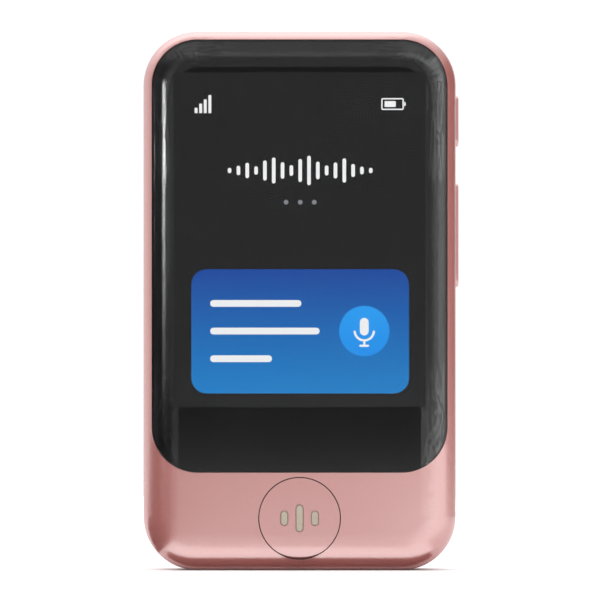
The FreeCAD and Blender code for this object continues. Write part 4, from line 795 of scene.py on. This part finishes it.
@dataclass
class FlashRings:
    """The ridges that are moulded into the flash lens's face."""

    x: float = 5.0
    z: float = 81.2
    face: float = 5.70
    height: float = 0.035
    radii: tuple[float, ...] = (0.3, 0.55, 0.8, 1.05, 1.3)
    ridge: float = 0.12
    # The same clear acrylic as the flash lens, a little cloudier on its ridges.
    plastic: ClearGlass = ClearGlass("clear_flash_ridges", "fbf8ee", 1.49, 0.08, alpha=0.55)

    def build(self) -> None:
        """Models and dresses the ridges."""
        rings = []
        for radius in self.radii:
            inner, outer = radius - self.ridge / 2, radius + self.ridge / 2
            steps = ((inner, self.face), (outer, self.face + self.height), (outer, self.face),
                     (inner, self.face))
            rings.append(turned(self.x, self.z, steps, close_start=False, close_end=False))
        ridges = joined(rings)
        weld()
        finish_shape(ridges, "flash_lens_ridges", self.plastic.build())


@dataclass
class ScreenLayer:
    """Where the picture's flat shapes lie on the display, in millimetres."""

    front: float = -4.572
    back: float = -4.552

    def plate(self, x: float, z: float, width: float, height: float, radius: float,
              lift: float = 0.0) -> bpy.types.Object:
        """Models one flat shape of the picture.

        Args:
            x: its middle across.
            z: its middle up.
            width: its width.
            height: its height.
            radius: its corners' radius.
            lift: how far it lies in front of the lowest shapes.

        Returns:
            The shape.
        """
        return rounded_plate(x, z, width, height, radius, self.front - lift, self.back - lift)


@dataclass
class MicrophoneSign(ScreenLayer):
    """A plain microphone sign: a head in a cup, on a stem and a foot."""

    x: float = 11.0
    z: float = 40.7
    lift: float = 0.04
    head_up: float = 0.75
    head_width: float = 1.5
    head_height: float = 3.0
    stem_down: float = 2.0
    stem_height: float = 0.9
    stem_corner: float = 0.1
    line: float = 0.36
    foot_down: float = 2.5
    foot_width: float = 1.7
    cup_up: float = 0.05
    cup_brim: float = 0.12
    cup_inner: float = 1.45
    cup_grow: float = 1.26
    cup_sides: int = 40

    def build(self) -> bpy.types.Object:
        """Models the sign.

        Returns:
            The sign.
        """
        head = self.plate(self.x, self.z + self.head_up, self.head_width, self.head_height,
                          self.head_width / 2, self.lift)
        stem = self.plate(self.x, self.z - self.stem_down, self.line, self.stem_height, self.stem_corner,
                          self.lift)
        foot = self.plate(self.x, self.z - self.foot_down, self.foot_width, self.line, self.line / 2,
                          self.lift)
        return joined([head, stem, foot, self.cup()])

    def cup(self) -> bpy.types.Object:
        """Models the open half ring under the head.

        Returns:
            The cup.
        """
        centre = (self.x * MM, (self.front - self.lift) * MM, (self.z + self.cup_up) * MM)
        deselect()
        bpy.ops.mesh.primitive_circle_add(vertices=self.cup_sides, radius=self.cup_inner * MM,
                                          fill_type="NOTHING", location=centre, rotation=(UPRIGHT, 0, 0))
        cup = bpy.context.object
        bpy.ops.object.transform_apply(location=True, rotation=True, scale=True)
        brim = (self.z + self.cup_brim) * MM
        pick(cup, Part.VERT, lambda point: point.co.z > brim)
        bpy.ops.mesh.delete(type="VERT")
        bpy.ops.mesh.select_all(action="SELECT")
        bpy.ops.mesh.extrude_edges_move()
        bpy.ops.transform.resize(value=(self.cup_grow, 1, self.cup_grow), center_override=centre)
        bpy.ops.mesh.select_all(action="SELECT")
        bpy.ops.mesh.extrude_region_move(
            TRANSFORM_OT_translate={"value": (0, (self.back - self.front) * MM, 0)})
        faces_outwards()
        return cup


@dataclass
class StatusSigns(ScreenLayer):
    """The signal steps at the left of the display's top, and the battery sign at its right."""

    corner: float = 0.1
    steps_left: float = -17.6
    steps_up: float = 78.2
    step_count: int = 4
    step_pitch: float = 0.78
    step_width: float = 0.5
    step_height: float = 0.9
    step_growth: float = 0.72
    left: float = 14.0
    right: float = 17.6
    low: float = 78.4
    high: float = 80.2
    line: float = 0.22
    level_in: float = 1.4
    level_size: tuple[float, float] = (1.9, 1.0)
    tip_out: float = 0.3
    tip_size: tuple[float, float] = (0.26, 0.7)

    def build(self) -> bpy.types.Object:
        """Models both signs.

        Returns:
            The signs, as one mesh.
        """
        steps = [self.plate(self.steps_left + self.step_pitch * index,
                            self.steps_up + self.step_growth / 2 * index, self.step_width,
                            self.step_height + self.step_growth * index, self.corner)
                 for index in range(self.step_count)]
        across, up = (self.left + self.right) / 2, (self.low + self.high) / 2
        sides = [self.plate(across, place, self.right - self.left, self.line, self.corner)
                 for place in (self.low, self.high)]
        ends = [self.plate(place, up, self.line, self.high - self.low, self.corner)
                for place in (self.left, self.right)]
        level = self.plate(self.left + self.level_in, up, *self.level_size, self.corner)
        tip = self.plate(self.right + self.tip_out, up, *self.tip_size, self.corner)
        return joined(steps + sides + ends + [level, tip])


@dataclass
class Picture(ScreenLayer):
    """The lit picture on the display: a voice line over dots, a lit panel, and small signs.

    The panel has three lines and a disc with a microphone sign.
    """

    middle: float = 0.1
    panel_low: float = 30.1
    panel_high: float = 51.2
    panel_width: float = 37.0
    panel_corner: float = 2.6
    lift: float = 0.02
    disc_place: tuple[float, float] = (11.0, 40.7)
    disc_radius: float = 4.3
    voice_up: float = 68.0
    voice_heights: tuple[float, ...] = (0.9, 1.6, 2.6, 1.4, 3.4, 4.4, 2.8, 1.8, 3.9, 5.0, 3.0, 1.7, 2.7,
                                        4.1, 2.2, 1.3, 0.9)
    voice_pitch: float = 1.5
    voice_width: float = 0.62
    lines_left: float = -15.2
    # Each panel line's height on the display and its length.
    lines: tuple[tuple[float, float], ...] = ((45.4, 15.5), (40.7, 18.6), (36.0, 10.5))
    line_thick: float = 1.15
    line_corner: float = 0.55
    dots_up: float = 62.6
    dot_pitch: float = 2.4
    dot_width: float = 0.8
    # Lit pixels: plain colour that glows a little, and mirrors nothing itself.
    white: LitPixels = LitPixels("lit_white_pixels", "f4f6f8", "ffffff", 20, 90, 0.95)
    grey: LitPixels = LitPixels("lit_grey_pixels", "8d9196", "9a9ea3", 20, 90, 0.8)
    blue: LitPixels = LitPixels("lit_blue_gradient_pixels", "007ec9", "00439c", 30.1, 51.2)
    light_blue: LitPixels = LitPixels("lit_light_blue_pixels", "0a8fec", "1b9df4", 36, 45)

    def build(self) -> None:
        """Models and dresses the whole picture."""
        white, grey = self.white.build(), self.grey.build()
        middle_up = (self.panel_low + self.panel_high) / 2
        panel = self.plate(self.middle, middle_up, self.panel_width, self.panel_high - self.panel_low,
                           self.panel_corner)
        finish_shape(panel, "picture_panel", self.blue.build())
        x, z = self.disc_place
        disc = self.plate(x, z, 2 * self.disc_radius, 2 * self.disc_radius, self.disc_radius, self.lift)
        finish_shape(disc, "picture_disc", self.light_blue.build())
        finish_shape(MicrophoneSign(x=x, z=z).build(), "picture_microphone", white)
        first = -(len(self.voice_heights) - 1) / 2 * self.voice_pitch
        bars = [self.plate(self.middle + first + index * self.voice_pitch, self.voice_up, self.voice_width,
                           height, self.voice_width / 2)
                for index, height in enumerate(self.voice_heights)]
        finish_shape(joined(bars), "picture_voice_line", white)
        lines = [self.plate(self.lines_left + length / 2, up, length, self.line_thick, self.line_corner,
                            self.lift)
                 for up, length in self.lines]
        finish_shape(joined(lines), "picture_panel_lines", white)
        dots = [self.plate(self.middle + step * self.dot_pitch, self.dots_up, self.dot_width,
                           self.dot_width, self.dot_width / 2)
                for step in (-1, 0, 1)]
        finish_shape(joined(dots), "picture_dots", grey)
        finish_shape(StatusSigns().build(), "picture_status", white)


@dataclass(frozen=True)
class Card:
    """A studio card that shows in reflections alone, with sizes in metres.

    Its box is its left, right, near and far edges, and its level is its height. If it stands,
    the box is left, right, low and high, and the level is how far it is in front of the
    object. A card whose light is 0 is black.
    """

    name: str
    box: tuple[float, float, float, float]
    level: float
    standing: bool = False
    light: float = 0.0
    black: Colour = (0.005, 0.005, 0.005, 1)

    def build(self) -> None:
        """Places the card, out of sight of the camera, with no shade and no light on the object."""
        left, right, low, high = self.box
        place = ((left + right) / 2, (low + high) / 2, self.level)
        if self.standing:
            place = (place[0], -self.level, place[1])
        bpy.ops.mesh.primitive_plane_add(size=1, rotation=(UPRIGHT if self.standing else 0, 0, 0),
                                         location=place)
        card = bpy.context.object
        card.name = self.name
        card.scale = (right - left, high - low, 1)
        material, _, shader = blank_material(self.name)
        shader.inputs["Base Color"].default_value = self.black
        shader.inputs["Specular IOR Level"].default_value = 0.0
        shader.inputs["Emission Color"].default_value = WHITE
        shader.inputs["Emission Strength"].default_value = self.light
        card.data.materials.append(material)
        material.cycles.emission_sampling = "NONE"
        card.visible_camera = False
        card.visible_diffuse = False
        card.visible_shadow = False


CARDS = (
    # A dim wall in front of the object keeps the glass dark, and brightens to the right.
    Card("glass_flag", (-0.2, 0.16, 0.004, 0.22), 0.6, True, 0.23),
    Card("glass_flag_side", (0.16, 0.22, 0.004, 0.22), 0.6, True, 0.5),
    Card("glass_flag_end", (0.22, 0.34, 0.004, 0.22), 0.6, True, 0.85),
    # Bright cards, low at the right, make the lower right edge paler.
    Card("right_glow", (0.03, 0.13, 0.0, 0.011), 0.2, True, 3.6),
    Card("right_floor_glow", (0.02, 0.25, -0.35, -0.022), 0.0002, False, 1.75),
    # A dim card overhead keeps the top edge from washing out.
    Card("top_flag", (-0.25, 0.25, -0.55, -0.03), 0.3, False, 0.55),
    # Black cards at the left deepen the lower left edge.
    Card("left_flag", (-0.15, -0.035, 0.0, 0.027), 0.16, True),
    Card("left_floor_flag", (-0.25, -0.026, -0.25, 0.0), 0.001),
    # On the floor, a black band and then a bright one line the bottom edge.
    Card("foot_flag", (-0.0245, 0.0245, -0.0072, -0.004), 0.0001),
    Card("foot_glow", (-0.026, 0.026, -0.022, -0.0072), 0.0001, False, 1.9),
)


@dataclass
class Studio:
    """The white sweep, the soft light all round, the reflected cards and strip, and the camera."""

    frame_width_mm: float = 102.44
    aim_x_mm: float = 0.07
    aim_z_mm: float = 45.98
    lens_mm: float = 400.0
    sensor_mm: float = 36.0
    floor_radius: float = 0.42
    floor_white: Colour = (0.93, 0.93, 0.93, 1)
    # Each pair is an angle to the right of the camera's side, in degrees, and how bright it is.
    round_light: tuple[tuple[float, float], ...] = (
        (-180, 1.04), (-120, 1.12), (-84, 1.1), (-62, 0.15), (-20, 0.06), (-8, 0.5), (0, 0.8), (12, 1.25),
        (34, 1.6), (50, 1.8), (60, 0.6), (70, 0.08), (130, 0.12), (152, 1.0), (180, 1.04))
    top_light: float = 1.45
    top_from: float = 0.3
    strip_angle: float = 19.5
    strip_away: float = 0.25
    strip_x: float = -0.0234
    strip_z: float = 0.064
    strip_wide: float = 0.028
    strip_tall: float = 0.066
    strip_light: float = 11.0

    def floor(self) -> None:
        """Makes the pale floor."""
        bpy.ops.mesh.primitive_circle_add(vertices=96, radius=self.floor_radius, fill_type="NGON",
                                          location=(0, 0, 0))
        floor = bpy.context.object
        floor.name = "floor"
        material, _, shader = blank_material("white_sweep")
        shader.inputs["Base Color"].default_value = self.floor_white
        shader.inputs["Roughness"].default_value = 0.9
        floor.data.materials.append(material)

    def sky(self) -> None:
        """Lights the room softly: from the front right, the left and behind, and from above."""
        world = bpy.data.worlds.new("white_room")
        bpy.context.scene.world = world
        world.use_nodes = True
        tree = world.node_tree
        tree.nodes.clear()
        place = add_node(tree, "ShaderNodeTexCoord")
        split = add_node(tree, "ShaderNodeSeparateXYZ", inputs={0: place.outputs["Generated"]})
        front = add_node(tree, "ShaderNodeMath", {1: -1.0}, {0: split.outputs["Y"]}, operation="MULTIPLY")
        angle = add_node(tree, "ShaderNodeMath", inputs={0: split.outputs["X"], 1: front.outputs[0]},
                         operation="ARCTAN2")
        turn = add_node(tree, "ShaderNodeMapRange", {"From Min": -math.pi, "From Max": math.pi},
                        {"Value": angle.outputs[0]})
        ring = add_node(tree, "ShaderNodeValToRGB", inputs={0: turn.outputs[0]})
        ring.color_ramp.interpolation = "EASE"
        for degrees, light in self.round_light[1:-1]:
            ring.color_ramp.elements.new((degrees + 180) / 360).color = (light, light, light, 1)
        for stop in (0, -1):
            light = self.round_light[stop][1]
            ring.color_ramp.elements[stop].color = (light, light, light, 1)
        top = add_node(tree, "ShaderNodeMapRange", {"From Min": self.top_from, "From Max": 1.0,
                                                    "To Min": 0.0, "To Max": self.top_light},
                       {"Value": split.outputs["Z"]}, interpolation_type="SMOOTHSTEP")
        total = add_node(tree, "ShaderNodeMath", inputs={0: ring.outputs[0], 1: top.outputs[0]})
        light = add_node(tree, "ShaderNodeBackground", {"Color": WHITE}, {"Strength": total.outputs[0]})
        add_node(tree, "ShaderNodeOutputWorld", inputs={"Surface": light.outputs[0]})

    def strip(self) -> None:
        """Stands a narrow light at the left, brighter at its top, for the line on the glass's edge."""
        angle = math.radians(self.strip_angle)
        place = (self.strip_x - self.strip_away * math.sin(angle), -self.strip_away * math.cos(angle),
                 self.strip_z)
        bpy.ops.mesh.primitive_plane_add(size=1, location=place, rotation=(UPRIGHT, 0, -angle))
        strip = bpy.context.object
        strip.name = "left_strip"
        strip.scale = (self.strip_wide, self.strip_tall, 1)
        material, tree, shader = blank_material("strip_light")
        split = add_node(tree, "ShaderNodeSeparateXYZ", inputs={0: object_place(tree)})
        fade = add_node(tree, "ShaderNodeMapRange", {"From Min": -0.5, "From Max": 0.4, "To Min": 0.0,
                                                     "To Max": self.strip_light},
                        {"Value": split.outputs["Y"]}, interpolation_type="SMOOTHSTEP")
        shader.inputs["Emission Color"].default_value = WHITE
        tree.links.new(fade.outputs[0], shader.inputs["Emission Strength"])
        strip.data.materials.append(material)
        strip.visible_camera = False

    def camera(self) -> None:
        """Stands the camera straight in front, as in the photograph."""
        data = bpy.data.cameras.new("camera")
        data.lens = self.lens_mm
        data.sensor_width = self.sensor_mm
        distance = self.lens_mm / self.sensor_mm * self.frame_width_mm * MM
        camera = bpy.data.objects.new("camera", data)
        bpy.context.scene.collection.objects.link(camera)
        camera.location = (self.aim_x_mm * MM, -distance, self.aim_z_mm * MM)
        camera.rotation_euler = (UPRIGHT, 0, 0)
        data.clip_start = 0.01
        data.clip_end = 50.0
        bpy.context.scene.camera = camera

    def build(self) -> None:
        """Sets up the whole studio."""
        self.floor()
        self.sky()
        self.camera()
        self.strip()
        for card in CARDS:
            card.build()
        bpy.context.scene.view_settings.view_transform = "Standard"


def main() -> None:
    """Builds and dresses everything, one sub-assembly after another."""
    logging.basicConfig(level=logging.INFO, format="%(name)s %(message)s")
    dress_nodes()
    Picture().build()
    TalkKeyTrim().build()
    CameraOptics().build()
    FlashRings().build()
    Studio().build()


if __name__ == "__main__":
    main()
